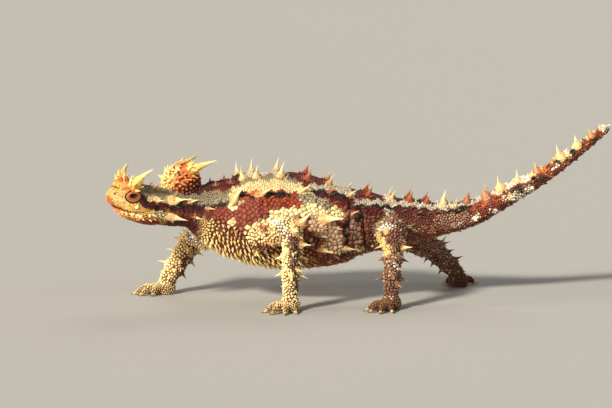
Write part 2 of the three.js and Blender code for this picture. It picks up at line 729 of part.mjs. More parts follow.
// The horns of the brows, and the knob of the nape with its own
function crest() {
  const back = forward.clone().negate();
  const skin = skull.solid(10, 16, SEAM);
  const neckSkin = trunk.solid(36, 16, SEAM);
  const grown = (radii) => radii.map((r) => r + SEAM);
  const knobSkin = ball(KNOB_CENTRE, grown(KNOB_RADII), 12, 8, HEAD_YAW);
  const spikes = [];
  const sides = [-1, 1].map((side) => left.clone().multiplyScalar(-side));
  const roots = sides.map(knobHornRoot);
  sides.forEach((out, i) => {
    const name = i ? "right" : "left";
    const place = ([ahead, outwards, up]) => inHead(ahead, i ? -outwards : outwards, up);
    const browSkin = ball(place([BROW.forward, BROW.out, BROW.height]), grown(BROW.radii), 10, 6, HEAD_YAW);
    const lid = EYE_RADIUS + 2 * SEAM + LID_THICKNESS;
    const eyeSkin = ball(place([EYE_PLACE.forward, EYE_PLACE.out, EYE_PLACE.height]), [lid, lid, lid], 12, 8);
    const browHorn = horn(place(BROW_HORN.root), place(BROW_HORN.tip), BROW_HORN.radius, back, HORN_SPURS);
    nodes[`brow_horn_${name}`] = largest(browHorn.subtract(skin).subtract(browSkin).subtract(eyeSkin));
    const knobHorn = horn(roots[i], knobHornTip(out), KNOB_HORN.radius, back, HORN_SPURS);
    nodes[`knob_horn_${name}`] = largest(knobHorn.subtract(knobSkin).subtract(neckSkin));
    spikes.push(...knobThorns(out));
  });
  const kept = spikes.filter((spike) => {
    const { min, max } = spike.boundingBox();
    const middle = vector(min).add(vector(max)).multiplyScalar(0.5);
    return roots.every((root) => root.distanceTo(middle) > 4.2);
  });
  const core = ball(KNOB_CENTRE, KNOB_RADII, 12, 8, HEAD_YAW);
  nodes.nape_knob = largest(wasm.Manifold.union([core, ...kept]).subtract(neckSkin));
}

// Shares out the trunk's thorns by the cuts, keeping clear of the cuts, limbs and knob
function trunkNodes() {
  const names = ["neck", "torso", "hips", "tail_base", "tail_middle", "tail_tip"];
  const flesh = [neckFlesh, torsoFlesh, hipsFlesh, ...tailFlesh];
  const cuts = [...TRUNK_CUTS.map(shareAt), 1];
  const awayFromKnob = (t) =>
    [t.base, t.tip].every((p) => {
      const offset = p.clone().sub(KNOB_CENTRE).divide(vector(KNOB_RADII.map((r) => r + KNOB_GAP)));
      return offset.length() > 1;
    });
  const inPlace = trunkThorns().filter(
    (t) => isClear(t, limbShapes) && awayFromKnob(t) && isClear(t, [skull], 0.2),
  );
  names.forEach((name, i) => {
    const margin = (t) => (t.radius + 0.35) / trunk.length;
    const own = inPlace.filter((t) => t.share > cuts[i] + margin(t) && t.share < cuts[i + 1] - margin(t));
    nodes[name] = largest(wasm.Manifold.union([flesh[i], ...own.map(grow)]));
  });
}

function limbNodes() {
  const trunkSkin = trunk.solid(36, 16, SEAM);
  Object.entries(limbs).forEach(([key, limb], order) => {
    const fore = key.startsWith("fore");
    const [upperName, lowerName, pawName] = limb.names;
    const [upperHeight, lowerHeight] = fore ? LIMB_HEIGHTS.fore : LIMB_HEIGHTS.hind;
    const upperThorns = limbThorns(limb.upper, order, { ...UPPER_THORNS, height: upperHeight, side: 1 });
    const lowerThorns = limbThorns(limb.lower, order + 4, {
      ...LOWER_THORNS,
      height: lowerHeight,
      side: limb.side,
    });
    for (const [share, angle, height, radius] of [...JOINT_THORNS, ...(fore ? ELBOW_TUFT : [])])
      lowerThorns.push(thornOn(limb.lower, share, limb.side * angle * DEG, height, radius, JOINT_LEAN));
    const aboveElbow = upperThorns.filter((t) => isClear(t, [trunk, limb.lower]));
    const belowElbow = lowerThorns.filter((t) => isClear(t, [trunk, limb.upper]));
    const lowerSkin = limb.lower.solid(4, 10, SEAM);
    const upper = limb.upper.solid(3, 10).subtract(trunkSkin);
    nodes[upperName] = largest(wasm.Manifold.union([upper, ...aboveElbow.map(grow)]).subtract(lowerSkin));
    nodes[lowerName] = largest(wasm.Manifold.union([limb.lower.solid(4, 10), ...belowElbow.map(grow)]));
    nodes[pawName] = largest(paw(limb).subtract(lowerSkin));
  });
}

nodes.head = head();
const headSpikes = headThorns().filter((t) => isClear(t, [trunk], 0.2));
nodes.head = largest(wasm.Manifold.union([nodes.head, ...headSpikes.map(grow)]));
crest();
trunkNodes();
limbNodes();

// One named mesh for each node
const COLOURS = {
  head: 0xd9b25c,
  eye: 0x241710,
  horn: 0xe6cf86,
  knob: 0xb5652c,
  trunk: 0x8a4a2a,
  tail: 0x9a7448,
  limb: 0xd8bd7c,
};
const colourOf = (name) => {
  const kind = ["eye", "horn", "knob", "head", "tail"].find((word) => name.includes(word));
  return COLOURS[kind ?? (["neck", "torso", "hips"].includes(name) ? "trunk" : "limb")];
};

const model = new THREE.Group();
for (const [name, made] of Object.entries(nodes)) {
  const material = new THREE.MeshStandardMaterial({
    color: colourOf(name),
    roughness: name.includes("eye") ? 0.15 : 0.8,
    metalness: 0,
  });
  const mesh = new THREE.Mesh(geometryOf(largest(made.simplify(FINEST_EDGE))), material);
  mesh.name = name;
  model.add(mesh);
}

// The origin lies on the ground below the middle of the model's box
const box = new THREE.Box3().setFromObject(model);
const middle = box.getCenter(new THREE.Vector3());
model.position.set(-middle.x, -middle.y, -box.min.z);

export default model;
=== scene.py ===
"""A thorny devil in mid stride: skin, scales, thorns, eyes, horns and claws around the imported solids.

Shapes are worked out in millimetres in the animal's own frame: the head towards -X, its left side
towards -Y, the ground at Z = 0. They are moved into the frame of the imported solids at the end.
"""

import math

import bpy
import numpy as np
from mathutils import Matrix, Vector
from mathutils.bvhtree import BVHTree
from mathutils.kdtree import KDTree


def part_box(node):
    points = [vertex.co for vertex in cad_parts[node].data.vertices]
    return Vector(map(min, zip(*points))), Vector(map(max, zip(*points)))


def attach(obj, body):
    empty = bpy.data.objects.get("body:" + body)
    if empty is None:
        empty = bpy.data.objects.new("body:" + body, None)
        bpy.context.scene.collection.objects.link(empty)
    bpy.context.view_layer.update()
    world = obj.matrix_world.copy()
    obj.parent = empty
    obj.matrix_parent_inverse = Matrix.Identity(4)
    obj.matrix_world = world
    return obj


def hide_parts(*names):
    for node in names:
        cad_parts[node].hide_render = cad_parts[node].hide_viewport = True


DEG = math.pi / 180
SEED = 0.4405
WOBBLE_STEPS = (12.9898, 78.233, 37.719, 4.581, 9.277)
MM = 0.001
PIXEL = 0.33
VOXEL = 0.42
MOST_TRIANGLES = 190000
SKIN_SAMPLES = 300000
SKIN_SEED = 11
MOST_SPARSE = 50000
PATCH_RADIUS = 0.0014

# The photo's camera: turned and tilted from the animal's side, with the axes of its picture
PHOTO_WIDTH = 612
PHOTO_ORIGIN = (300, 299)
PHOTO_RIGHT = (0.996, -0.087)
PHOTO_UP = (0.0106, 0.1214, 0.9925)
CAMERA_TURN = 5 * DEG
CAMERA_TILT = 7 * DEG
CAMERA_AWAY = 1100
CAMERA_AIM = (1.98, 31.35)
FLOOR_RADIUS = 9
FLOOR_SIDES = 64

# The solids' driving sizes
HEAD_YAW = 17 * DEG
HEAD_BACK = np.array([-50.2, -7.4, 32.6])
EYE_RADIUS = 2.3
EYE_AHEAD, EYE_OUT, EYE_UP = 7.2, 5.7, 3.9
PALM_HEIGHT = 3.4
WRIST_REACH = 1.5
TOE_RADIUS = 1.1
CLAW_LENGTH = 1.9
CLAW_RADIUS = 0.56
KNOB_CENTRE = np.array([-39.2, -3.6, 40.0])
KNOB_RADII = np.array([6.6, 6.2, 6.0])

# Stations: x, y, z, half width, half height above, half height below
TRUNK_STATIONS = [
    [-50, -7.2, 32.9, 6.6, 6.1, 6.3],
    [-43, -5.2, 31.9, 6.6, 6.0, 6.4],
    [-36.3, -3.2, 31.6, 7.6, 6.5, 7.2],
    [-29.7, -1.3, 30.0, 11.0, 9.6, 10.6],
    [-23, 0.0, 28.0, 16.0, 13.0, 13.6],
    [-16.5, 0.3, 27.2, 19.3, 14.8, 15.2],
    [-8, 0.6, 26.6, 21.2, 15.6, 16.2],
    [0, 0.6, 26.2, 21.6, 15.1, 15.8],
    [6.6, 0.4, 25.8, 20.6, 14.0, 14.9],
    [13, 0.2, 25.3, 17.8, 12.4, 13.3],
    [19.8, 0.0, 25.4, 14.0, 10.3, 10.6],
    [26.4, 0.0, 25.3, 11.5, 9.0, 9.3],
    [33, -0.2, 25.4, 9.8, 7.8, 8.1],
    [39.6, -0.5, 25.9, 8.0, 6.5, 6.7],
    [45.5, -1.0, 26.1, 6.6, 5.5, 5.5],
    [56.8, -2.5, 28.2, 5.0, 4.2, 4.1],
    [68, -4.2, 34.0, 3.9, 3.35, 3.3],
    [80, -6.0, 41.0, 2.9, 2.5, 2.5],
    [92, -7.8, 49.8, 2.0, 1.8, 1.75],
    [101, -9.0, 57.2, 1.35, 1.25, 1.2],
]
# Head: forward from its back, centre height, half width, half height above, below
HEAD_STATIONS = [
    [-6, 32.2, 6.3, 5.6, 5.6],
    [-2, 32.4, 7.0, 6.3, 6.4],
    [1, 33.0, 7.7, 6.3, 6.5],
    [4, 33.7, 8.2, 6.3, 6.2],
    [7, 34.5, 8.0, 6.1, 5.9],
    [9.6, 34.8, 6.7, 5.4, 5.2],
    [11.4, 34.6, 5.4, 4.0, 4.4],
    [12.5, 34.1, 4.2, 2.9, 3.5],
    [13.2, 33.6, 3.1, 2.1, 2.5],
]
LIMBS = {
    "fore_left": {
        "side": -1,
        "root": (-17, -13.5, 21.5),
        "bend": (-4.6, -26.6, 27.2),
        "end": (-5.4, -25, 4.4),
        "upper": (4.6, 4.3, 3.8),
        "lower": (3.8, 3.3, 2.7),
        "heading": 232,
        "fan": (-60, -30, 0, 30, 62),
        "toes": (4.6, 6.2, 6.9, 6.4, 4.8),
    },
    "fore_right": {
        "side": 1,
        "root": (-22, 11, 20.5),
        "bend": (-33.8, 18.5, 18.4),
        "end": (-43.6, 15.4, 4.2),
        "upper": (4.8, 4.6, 4.2),
        "lower": (4.0, 3.6, 2.9),
        "heading": 186,
        "fan": (58, 28, 0, -30, -60),
        "toes": (4.6, 6.2, 6.9, 6.4, 4.8),
    },
    "hind_left": {
        "side": -1,
        "root": (28, -6, 23.5),
        "bend": (28.6, -22.5, 24.6),
        "end": (27.4, -25, 3.8),
        "upper": (5.2, 4.9, 4.2),
        "lower": (3.8, 3.2, 2.6),
        "heading": 222,
        "fan": (-50, -24, 2, 28, 56),
        "toes": (4.2, 5.6, 6.8, 7.4, 5.4),
    },
    "hind_right": {
        "side": 1,
        "root": (30, 6, 23),
        "bend": (45.4, 19.0, 14.4),
        "end": (55.8, 23.0, 4.1),
        "upper": (5.2, 4.9, 4.2),
        "lower": (4.0, 3.4, 2.8),
        "heading": 84,
        "fan": (50, 24, -2, -28, -56),
        "toes": (4.2, 5.6, 6.8, 7.4, 5.4),
    },
}
# The double row of spines along the neck, back and tail: x of each pair, height, how pale
TOP_SPINES = [
    (-46.0, 3.4, 0.1),
    (-30.8, 2.4, 0.2),
    (-26.9, 2.6, 0.1),
    (-21.2, 4.6, 1.0),
    (-16.3, 4.6, 0.95),
    (-7.8, 5.2, 0.95),
    (1.1, 4.6, 0.1),
    (8.0, 4.4, 0.45),
    (21.7, 4.4, 0.05),
    (29.8, 3.8, 0.8),
    (36.5, 4.8, 0.1),
    (41.3, 4.0, 0.1),
    (47.9, 4.6, 1.0),
    (56.4, 4.6, 0.2),
    (63.1, 3.6, 0.3),
    (67.6, 4.2, 1.0),
    (72.9, 3.2, 0.9),
    (79.0, 3.0, 0.4),
    (86.4, 4.0, 0.9),
    (91.9, 3.3, 1.0),
    (96.0, 2.6, 0.4),
    (99.2, 1.8, 0.8),
]
TOP_ROW = {"angle": (18, 24), "foot": 0.34, "lean": 0.12}
# Spines of the sides: x, angle from the middle of the back, height, lean towards the tail, how pale
SIDE_SPINES = [
    (-43.6, 64, 5.2, 2.6, 1.15),
    (-43.6, 114, 4.6, 2.6, 1.15),
    (-38.4, 68, 2.6, 1.6, 0.9),
    (-37.0, 110, 2.8, 1.6, 0.8),
    (-33.4, 84, 2.4, 1.2, 0.4),
    (-27.2, 69, 2.0, 0.6, 0.8),
    (-26.0, 57, 6.2, 0.6, 0.9),
    (-26.0, 96, 2.2, 0.8, 0.6),
    (-15.3, 51, 5.2, 1.1, 0.5),
    (-1.0, 43, 3.4, 0.85, 0.8),
    (8.0, 37, 3.5, 0.55, 0.1),
    (15.8, 32, 3.7, 0.55, 0.7),
    (6.9, 77, 6.0, 1.5, 0.95),
    (16.0, 65, 2.8, 0.6, 0.4),
    (6.7, 114, 3.8, 1.8, 0.7),
    (14.2, 117, 3.4, 1.8, 0.7),
    (52.0, 37, 2.0, 0.1, 0.8),
    (69.1, 97, 2.2, 0.6, 0.8),
]
SIDE_FOOT = 0.32
# Rows of smaller thorns: from and to as shares of the trunk's line, count, angles at both ends,
# heights at start, middle and end, foot width as a share of height, lean to the tail
THORN_ROWS = [
    (0.24, 0.46, 5, (98, 92), (1.8, 2.2, 1.8), 0.38, 0.9),
    (0.22, 0.46, 7, (128, 126), (2.0, 2.6, 2.4), 0.38, 0.9),
]
TAIL_ROWS = {"from": 0.5, "to": 0.975, "rings": 12, "angles": (62, 112), "height": (2.6, 1.2), "lean": 0.35}
UPPER_ROWS = [(0, 1.1), (72, 1.1), (144, 0.6), (216, 0.6), (288, 1.1)]
LOWER_ROWS = [(8, 1.15), (50, 0.7), (92, 1.05), (134, 0.7), (176, 1.1), (260, 0.5)]
LIMB_HEIGHTS = {"fore": (2.4, 2.3), "hind": (2.6, 2.5)}
# Share of the segment, angle from its front, height, radius
JOINT_THORNS = [(0.04, 160, 5.8, 1.5), (0.12, 100, 3.6, 1.15), (0.1, 35, 3.8, 1.15), (0.3, 150, 3.6, 1.1)]
JOINT_LEAN = -0.3
ELBOW_TUFT = [(0.03, -22, 3.0, 0.75), (0.08, 10, 3.2, 0.75), (0.15, -10, 2.8, 0.7), (0.21, 18, 2.4, 0.7)]


def wobble(*keys):
    """A repeatable value between -1 and 1 for a set of whole numbers."""
    turn = SEED + sum(key * step for key, step in zip(keys, WOBBLE_STEPS))
    large = math.sin(turn) * 43758.5453
    return 2 * (large - math.floor(large)) - 1


def mix(a, b, t):
    return a + (b - a) * t


def unit(v):
    v = np.asarray(v, float)
    return v / np.maximum(np.linalg.norm(v, axis=-1, keepdims=True), 1e-12)


def smooth(edge0, edge1, x):
    t = np.clip((x - edge0) / (edge1 - edge0), 0, 1)
    return t * t * (3 - 2 * t)


def ring_pairs(rows, around):
    """Each point of a stack of rings but the last ring, with the next point round its ring."""
    steps = [(k, (k + 1) % around) for k in range(around)]
    return [(row * around + a, row * around + b) for row in range(rows - 1) for a, b in steps]


def tree_of(points):
    """A search tree of points."""
    tree = KDTree(len(points))
    for i, p in enumerate(points):
        tree.insert(p, i)
    tree.balance()
    return tree


class Curve:
    """A Catmull-Rom curve through points, walked by its length."""

    def __init__(self, points):
        points = np.asarray(points, float)
        self.points = points
        self.padded = np.vstack([2 * points[0] - points[1], points, 2 * points[-1] - points[-2]])
        steps = self.point(np.linspace(0, 1, 201))
        self.walked = np.concatenate([[0], np.cumsum(np.linalg.norm(np.diff(steps, axis=0), axis=1))])
        self.length = self.walked[-1]

    def point(self, t):
        last = len(self.points) - 1
        p = np.atleast_1d(t) * last
        i = np.minimum(p.astype(int), last - 1)
        w = (p - i)[:, None]
        p0, p1, p2, p3 = (self.padded[i + k] for k in range(4))
        t0, t1 = 0.5 * (p2 - p0), 0.5 * (p3 - p1)
        return p1 + t0 * w + (-3 * p1 + 3 * p2 - 2 * t0 - t1) * w**2 + (2 * p1 - 2 * p2 + t0 + t1) * w**3

    def at_length(self, share):
        return np.interp(np.clip(share, 0, 1) * self.length, self.walked, np.linspace(0, 1, 201))

    def tangent(self, t):
        return unit(self.point(np.minimum(t + 1e-4, 1)) - self.point(np.maximum(t - 1e-4, 0)))


class Loft:
    """A closed body swept along a line, like the solids'. All its methods take arrays of shares."""

    def __init__(self, stations, up_hint, belly=1.0, caps=(1.0, 1.0)):
        stations = np.asarray(stations, float)
        self.line = Curve(stations[:, :3])
        self.sizes = Curve(stations[:, 3:6])
        self.up_hint = np.asarray(up_hint, float)
        self.belly = belly
        self.caps = caps
        self.length = self.line.length

    def at(self, share):
        share = np.atleast_1d(np.asarray(share, float))
        t = self.line.at_length(share)
        along = self.line.tangent(t)
        up = unit(self.up_hint - along * (along @ self.up_hint)[:, None])
        size = self.sizes.point(t)
        ends = [share * self.length, (1 - share) * self.length]
        cap = [np.sqrt(np.clip(1 - np.maximum(0, 1 - d / c) ** 2, 0, 1)) for d, c in zip(ends, self.caps)]
        size = size * np.minimum(*cap)[:, None]
        return self.line.point(t), along, up, np.cross(along, up), size

    def point(self, share, angle, lift=0.0):
        centre, _, up, side, size = self.at(share)
        angle = np.broadcast_to(np.asarray(angle, float), (len(centre),))
        high, out = np.cos(angle), np.sin(angle)
        power = np.where(high < 0, self.belly, 1.0)
        rise = np.sign(high) * np.abs(high) ** power
        reach = np.sign(out) * np.abs(out) ** power
        tall = np.where(high > 0, size[:, 1], size[:, 2])
        return centre + side * (reach * (size[:, 0] + lift))[:, None] + up * (rise * (tall + lift))[:, None]

    def normal(self, share, angle):
        step = 0.01
        s = np.clip(np.atleast_1d(share), step, 1 - step)
        length = self.point(s + step, angle) - self.point(s - step, angle)
        round_ = self.point(s, np.asarray(angle) + step) - self.point(s, np.asarray(angle) - step)
        return unit(np.cross(round_, length))

    def nearest(self, points):
        """Share of the line nearest to each point, and the point's angle and reach there."""
        shares = np.linspace(0, 1, 301)
        centres, along, up, side, size = self.at(shares)
        best = np.empty(len(points), int)
        for start in range(0, len(points), 20000):
            block = points[start : start + 20000]
            gap = (block**2).sum(1)[:, None] - 2 * block @ centres.T + (centres**2).sum(1)[None]
            best[start : start + 20000] = gap.argmin(1)
        offset = points - centres[best]
        high = (offset * up[best]).sum(1)
        out = (offset * side[best]).sum(1)
        step = (offset * along[best]).sum(1) / self.length
        tall = np.where(high > 0, size[best, 1], size[best, 2])
        reach = np.hypot(out / np.maximum(size[best, 0], 0.1), high / np.maximum(tall, 0.1))
        return np.clip(shares[best] + step, 0, 1), np.arctan2(out, high), reach

    def holds(self, points, margin):
        shares = np.linspace(0, 1, 101)
        centres, _, up, side, size = self.at(shares)
        best = ((points[:, None] - centres[None]) ** 2).sum(2).argmin(1)
        offset = points - centres[best]
        high = (offset * up[best]).sum(1)
        out = (offset * side[best]).sum(1) / (size[best, 0] + margin)
        tall = np.where(high > 0, size[best, 1], size[best, 2]) + margin
        return np.hypot(high / tall, out) < 1

    def mesh(self, steps, around):
        first, last = (cap / self.length for cap in self.caps)
        shares = [0.05 * first, 0.29 * first, 0.6 * first]
        shares += list(np.linspace(first, 1 - last, steps + 1))
        shares += [1 - 0.6 * last, 1 - 0.29 * last, 1 - 0.05 * last]
        angles = np.linspace(0, 2 * math.pi, around, endpoint=False)
        rows = [self.point(np.full(around, s), angles) for s in shares]
        ends = [self.at([0.0])[0], self.at([1.0])[0]]
        verts = np.vstack(rows + ends)
        n = len(shares)
        faces = [(a, b, b + around, a + around) for a, b in ring_pairs(n, around)]
        for k in range(around):
            faces.append((n * around, (k + 1) % around, k))
            a = (n - 1) * around
            faces.append((n * around + 1, a + k, a + (k + 1) % around))
        return verts, faces


def ball_mesh(centre, radii, turn=0.0, wide=32, high=20):
    theta = np.linspace(0, math.pi, high + 1)[1:-1]
    phi = np.linspace(0, 2 * math.pi, wide, endpoint=False)
    rings = []
    for t in theta:
        ring = [np.sin(t) * np.cos(phi), np.sin(t) * np.sin(phi), np.full(wide, np.cos(t))]
        rings.append(np.stack(ring, 1))
    verts = np.vstack(rings + [[[0, 0, 1]], [[0, 0, -1]]]) * np.asarray(radii, float)
    c, s = math.cos(turn), math.sin(turn)
    verts = verts @ np.array([[c, s, 0], [-s, c, 0], [0, 0, 1]]) + np.asarray(centre, float)
    n = len(theta)
    faces = [(a, a + wide, b + wide, b) for a, b in ring_pairs(n, wide)]
    for k in range(wide):
        faces.append((n * wide, k, (k + 1) % wide))
        a = (n - 1) * wide
        faces.append((n * wide + 1, a + (k + 1) % wide, a + k))
    return verts, faces


TRUNK = Loft(TRUNK_STATIONS, (0, 0, 1), 0.86, (1.5, 1.1))
FORWARD = np.array([-math.cos(HEAD_YAW), -math.sin(HEAD_YAW), 0])
LEFT = np.array([math.sin(HEAD_YAW), -math.cos(HEAD_YAW), 0])
UP = np.array([0.0, 0.0, 1.0])


def in_head(ahead, to_left, up):
    return HEAD_BACK + ahead * FORWARD + to_left * LEFT + up * UP


SKULL_STATIONS = [[*in_head(a, 0, z - HEAD_BACK[2]), *sizes] for a, z, *sizes in HEAD_STATIONS]
SKULL = Loft(SKULL_STATIONS, (0, 0, 1), 1.0, (1.5, 1.3))
EYES = {side: in_head(EYE_AHEAD, -side * EYE_OUT, EYE_UP) for side in (-1, 1)}


def eye_axes(side):
    """Where an eye looks, and the directions across and up its lids."""
    look = unit(-side * LEFT + 0.22 * FORWARD)
    wide = unit(np.cross(UP, look))
    return look, wide, np.cross(look, wide)


def limb_lofts(limb):
    root, bend, end = (np.array(limb[k], float) for k in ("root", "bend", "end"))

    def segment(a, b, sizes, hint):
        stations = [[*mix(a, b, i / 2), r, r, r] for i, r in enumerate(sizes)]
        return Loft(stations, hint, 1.0, (sizes[0] * 0.9, sizes[2] * 0.9))

    def over(a, b, length):
        return b + unit(b - a) * length

    knee = over(root, bend, limb["upper"][2] * 0.5)
    knuckle, wrist = over(end, bend, limb["lower"][0] * 0.75), over(bend, end, WRIST_REACH)
    return segment(root, knee, limb["upper"], (0, 0, 1)), segment(knuckle, wrist, limb["lower"], (-1, 0, 0))


LIMB_LOFTS = {name: limb_lofts(limb) for name, limb in LIMBS.items()}


def paw_parts(limb):
    """Palm, heel and toes as meshes, and each claw as its foot, direction and length."""
    wrist = np.array(limb["end"], float)
    heading = limb["heading"] * DEG
    ahead = np.array([math.cos(heading), math.sin(heading), 0])
    middle = wrist + 2.0 * ahead
    middle[2] = PALM_HEIGHT / 2 - 0.1
    heel = np.array([wrist[0], wrist[1], 2.2])
    parts = [
        ball_mesh(middle, (3.6, 2.9, PALM_HEIGHT / 2 + 0.3), heading),
        ball_mesh(heel, (3.5, 3.5, 3.2), heading),
    ]
    claws, toes = [], []
    for spread, length in zip(limb["fan"], limb["toes"]):
        turn = heading + spread * DEG
        way = np.array([math.cos(turn), math.sin(turn), 0])
        root = middle + 1.2 * way
        root[2] = 1.6
        knuckle = root + way * length * 0.5
        knuckle[2] = 2.3
        tip = root + way * length
        tip[2] = 0.62
        sizes = [share * TOE_RADIUS for share in (1.15, 1.05, 0.75)]
        toe = Loft([[*p, r, r, r] for p, r in zip((root, knuckle, tip), sizes)], (0, 0, 1), 1.0, (0.5, 0.5))
        toes.append(toe)
        parts.append(toe.mesh(16, 16))
        claws.append((tip + 0.1 * way, unit(way - [0, 0, 0.16]), CLAW_LENGTH))
    return parts, claws, toes


PAWS = {name: paw_parts(limb) for name, limb in LIMBS.items()}


# Thorns, placed as on the solids


def thorn_on(loft, share, angle, height, radius, lean=0.0):
    base = loft.point(share, angle)[0]
    direction = unit(loft.normal(share, angle)[0] + lean * loft.at(share)[1][0])
    return {"base": base, "way": direction, "height": height, "radius": radius, "share": share}


def is_clear(t, lofts, margin=0.5):
    shares = np.array([0.15, 0.6, 1.0])
    places = t["base"] + shares[:, None] * t["height"] * t["way"]
    margins = margin + t["radius"] * (1 - shares)
    return not any(loft.holds(places[i : i + 1], margins[i]).any() for loft in lofts for i in range(3))


def share_at(x):
    shares = np.linspace(0, 1, 1001)
    return shares[np.abs(TRUNK.at(shares)[0][:, 0] - x).argmin()]


def trunk_thorns():
    made = []
    for i, (x, height, pale) in enumerate(TOP_SPINES):
        angle = mix(*TOP_ROW["angle"], i / (len(TOP_SPINES) - 1)) * DEG
        for side in (-1, 1):
            share = share_at(x) + 0.0015 * wobble(i, side, 1)
            tall = height * (1 + 0.06 * wobble(i, side, 2))
            foot = max(0.6, tall * (TOP_ROW["foot"] + 0.16 * smooth(55, 65, x)))
            made.append(thorn_on(TRUNK, share, side * angle, tall, foot, TOP_ROW["lean"]) | {"pale": pale})
    for i, (x, angle, height, lean, pale) in enumerate(SIDE_SPINES):
        for side in (-1, 1):
            tall = height * (1 + 0.05 * wobble(i, side, 3))
            foot = max(0.75, tall * SIDE_FOOT)
            made.append(thorn_on(TRUNK, share_at(x), side * angle * DEG, tall, foot, lean) | {"pale": pale})
    for r, (start, end, count, angles, heights, foot, row_lean) in enumerate(THORN_ROWS):
        for side in (-1, 1):
            for i in range(count):
                along = i / (count - 1)
                share = mix(start, end, along) + 0.003 * (side + wobble(r, side, i, 1))
                angle = side * (mix(*angles, along) + 2 * wobble(r, side, i, 2)) * DEG
                low, middle, high = heights
                full = mix(low, middle, 2 * along) if along < 0.5 else mix(middle, high, 2 * along - 1)
                height = full * (1 + 0.14 * wobble(r, side, i, 3))
                lean = row_lean * (1 + 0.2 * wobble(r, side, i, 4))
                made.append(thorn_on(TRUNK, share, angle, height, max(0.7, height * foot), lean))
    for ring in range(TAIL_ROWS["rings"]):
        along = ring / (TAIL_ROWS["rings"] - 1)
        for row, angle in enumerate(TAIL_ROWS["angles"]):
            for side in (-1, 1):
                height = mix(*TAIL_ROWS["height"], along) * (1, 0.75)[row]
                height *= 1 + 0.16 * wobble(ring, row, side, 1)
                share = mix(TAIL_ROWS["from"], TAIL_ROWS["to"], along) + (0.012, 0)[row]
                turned = side * (angle + 3 * wobble(ring, row, side, 3)) * DEG
                foot = max(0.6, height * 0.36)
                made.append(thorn_on(TRUNK, share, turned, height, foot, TAIL_ROWS["lean"]))
    segments = [loft for pair in LIMB_LOFTS.values() for loft in pair]

    def off_knob(t):
        places = np.array([t["base"], t["base"] + t["way"] * t["height"]])
        return np.all(np.linalg.norm((places - KNOB_CENTRE) / (KNOB_RADII + 1.1), axis=1) > 1)

    return [t for t in made if off_knob(t) and is_clear(t, segments) and is_clear(t, [SKULL], 0.2)]


def limb_thorns():
    made = []
    for order, (name, limb) in enumerate(LIMBS.items()):
        fore = name.startswith("fore")
        upper, lower = LIMB_LOFTS[name]

        def rows(loft, key, table, count, height, radius, lean, start, end, side, swell=0.0):
            grown = []
            for row, (angle, big) in enumerate(table):
                for i in range(count):
                    step = i + (0.5 if row % 2 else 0) + 0.15 * wobble(key, row, i, 1)
                    share = mix(start, end, step / count)
                    if share > 0.94:
                        continue
                    tall = height * big * (1 + 0.15 * wobble(key, row, i, 2))
                    tall *= 1 + swell * abs(1 - 2 * share)
                    turned = side * (angle + 4 * wobble(key, row, i, 3)) * DEG
                    foot = radius * mix(0.8, 1, big)
                    grown.append(thorn_on(loft, share, turned, tall, foot, lean))
            return grown

        tall_up, tall_low = LIMB_HEIGHTS["fore" if fore else "hind"]
        up = rows(upper, order, UPPER_ROWS, 3, tall_up, 0.9, 0.6, 0.35, 0.9, 1)
        low = rows(lower, order + 4, LOWER_ROWS, 4, tall_low, 0.85, 0.25, 0.08, 0.86, limb["side"], 0.35)
        for s, angle, height, foot in JOINT_THORNS + (ELBOW_TUFT if fore else []):
            t = thorn_on(lower, s, limb["side"] * angle * DEG, height, foot, JOINT_LEAN)
            low.append(t | {"pale": 0.95})
        made += [t for t in up if is_clear(t, [TRUNK, lower])]
        made += [t for t in low if is_clear(t, [TRUNK, upper])]
    return made


HEAD_THORNS = [
    (0.34, 112, 2.0, 0.8, -0.8, 0.9),
    (0.3, 70, 2.6, 0.95, -0.9, 0.9),
    (0.3, 22, 3.0, 0.9, -0.3, 0.25),
    (0.42, 34, 2.6, 0.8, -0.3, 0.3),
    (0.72, 22, 1.2, 0.6, 0, 0.7),
    (0.8, 46, 1.1, 0.55, 0, 0.7),
    (0.86, 64, 0.8, 0.5, 0, 0.7),
]
JAW_THORNS = 7


def head_thorns():
    made = []
    for side in (-1, 1):
        for i in range(JAW_THORNS):
            along = i / (JAW_THORNS - 1)
            angle = side * mix(122, 138, along) * DEG
            t = thorn_on(SKULL, mix(0.3, 0.86, along), angle, mix(1.7, 0.8, along), 0.6, -0.5)
            made.append(t | {"pale": 0.9})
        for share, angle, height, radius, lean, pale in HEAD_THORNS:
            made.append(thorn_on(SKULL, share, side * angle * DEG, height, radius, lean) | {"pale": pale})
    return [t for t in made if is_clear(t, [TRUNK], 0.2)]


KNOB_THORNS = {"count": 6, "spread": 62, "height": 2.3, "radius": 0.9}


def knob_thorns():
    made = []
    roots = [KNOB_CENTRE + side * 3.4 * LEFT - 1.6 * FORWARD + 3.6 * UP for side in (-1, 1)]
    for side in (-1, 1):
        out = -side * LEFT
        for i in range(KNOB_THORNS["count"]):
            turn = mix(-1, 1, i / (KNOB_THORNS["count"] - 1)) * KNOB_THORNS["spread"] * DEG
            tilt = abs(turn) * 0.2
            ahead = FORWARD * math.cos(tilt) + np.cross(out, FORWARD) * math.sin(tilt)
            way = unit(ahead * math.cos(turn) * 0.9 + 0.75 * out + UP * math.sin(turn))
            base = KNOB_CENTRE + way * KNOB_RADII
            t = {"base": base, "way": unit(way - 0.3 * FORWARD)}
            t |= {"height": KNOB_THORNS["height"], "radius": KNOB_THORNS["radius"]}
            if all(np.linalg.norm(root - base - 0.4 * way) > 4.2 for root in roots):
                made.append(t)
    return made


# The markings, laid out in the pixels of the photo as seen from the animal's own near side


def srgb(r, g, b):
    c = np.array([r, g, b]) / 255
    return np.where(c <= 0.04045, c / 12.92, ((c + 0.055) / 1.055) ** 2.4)


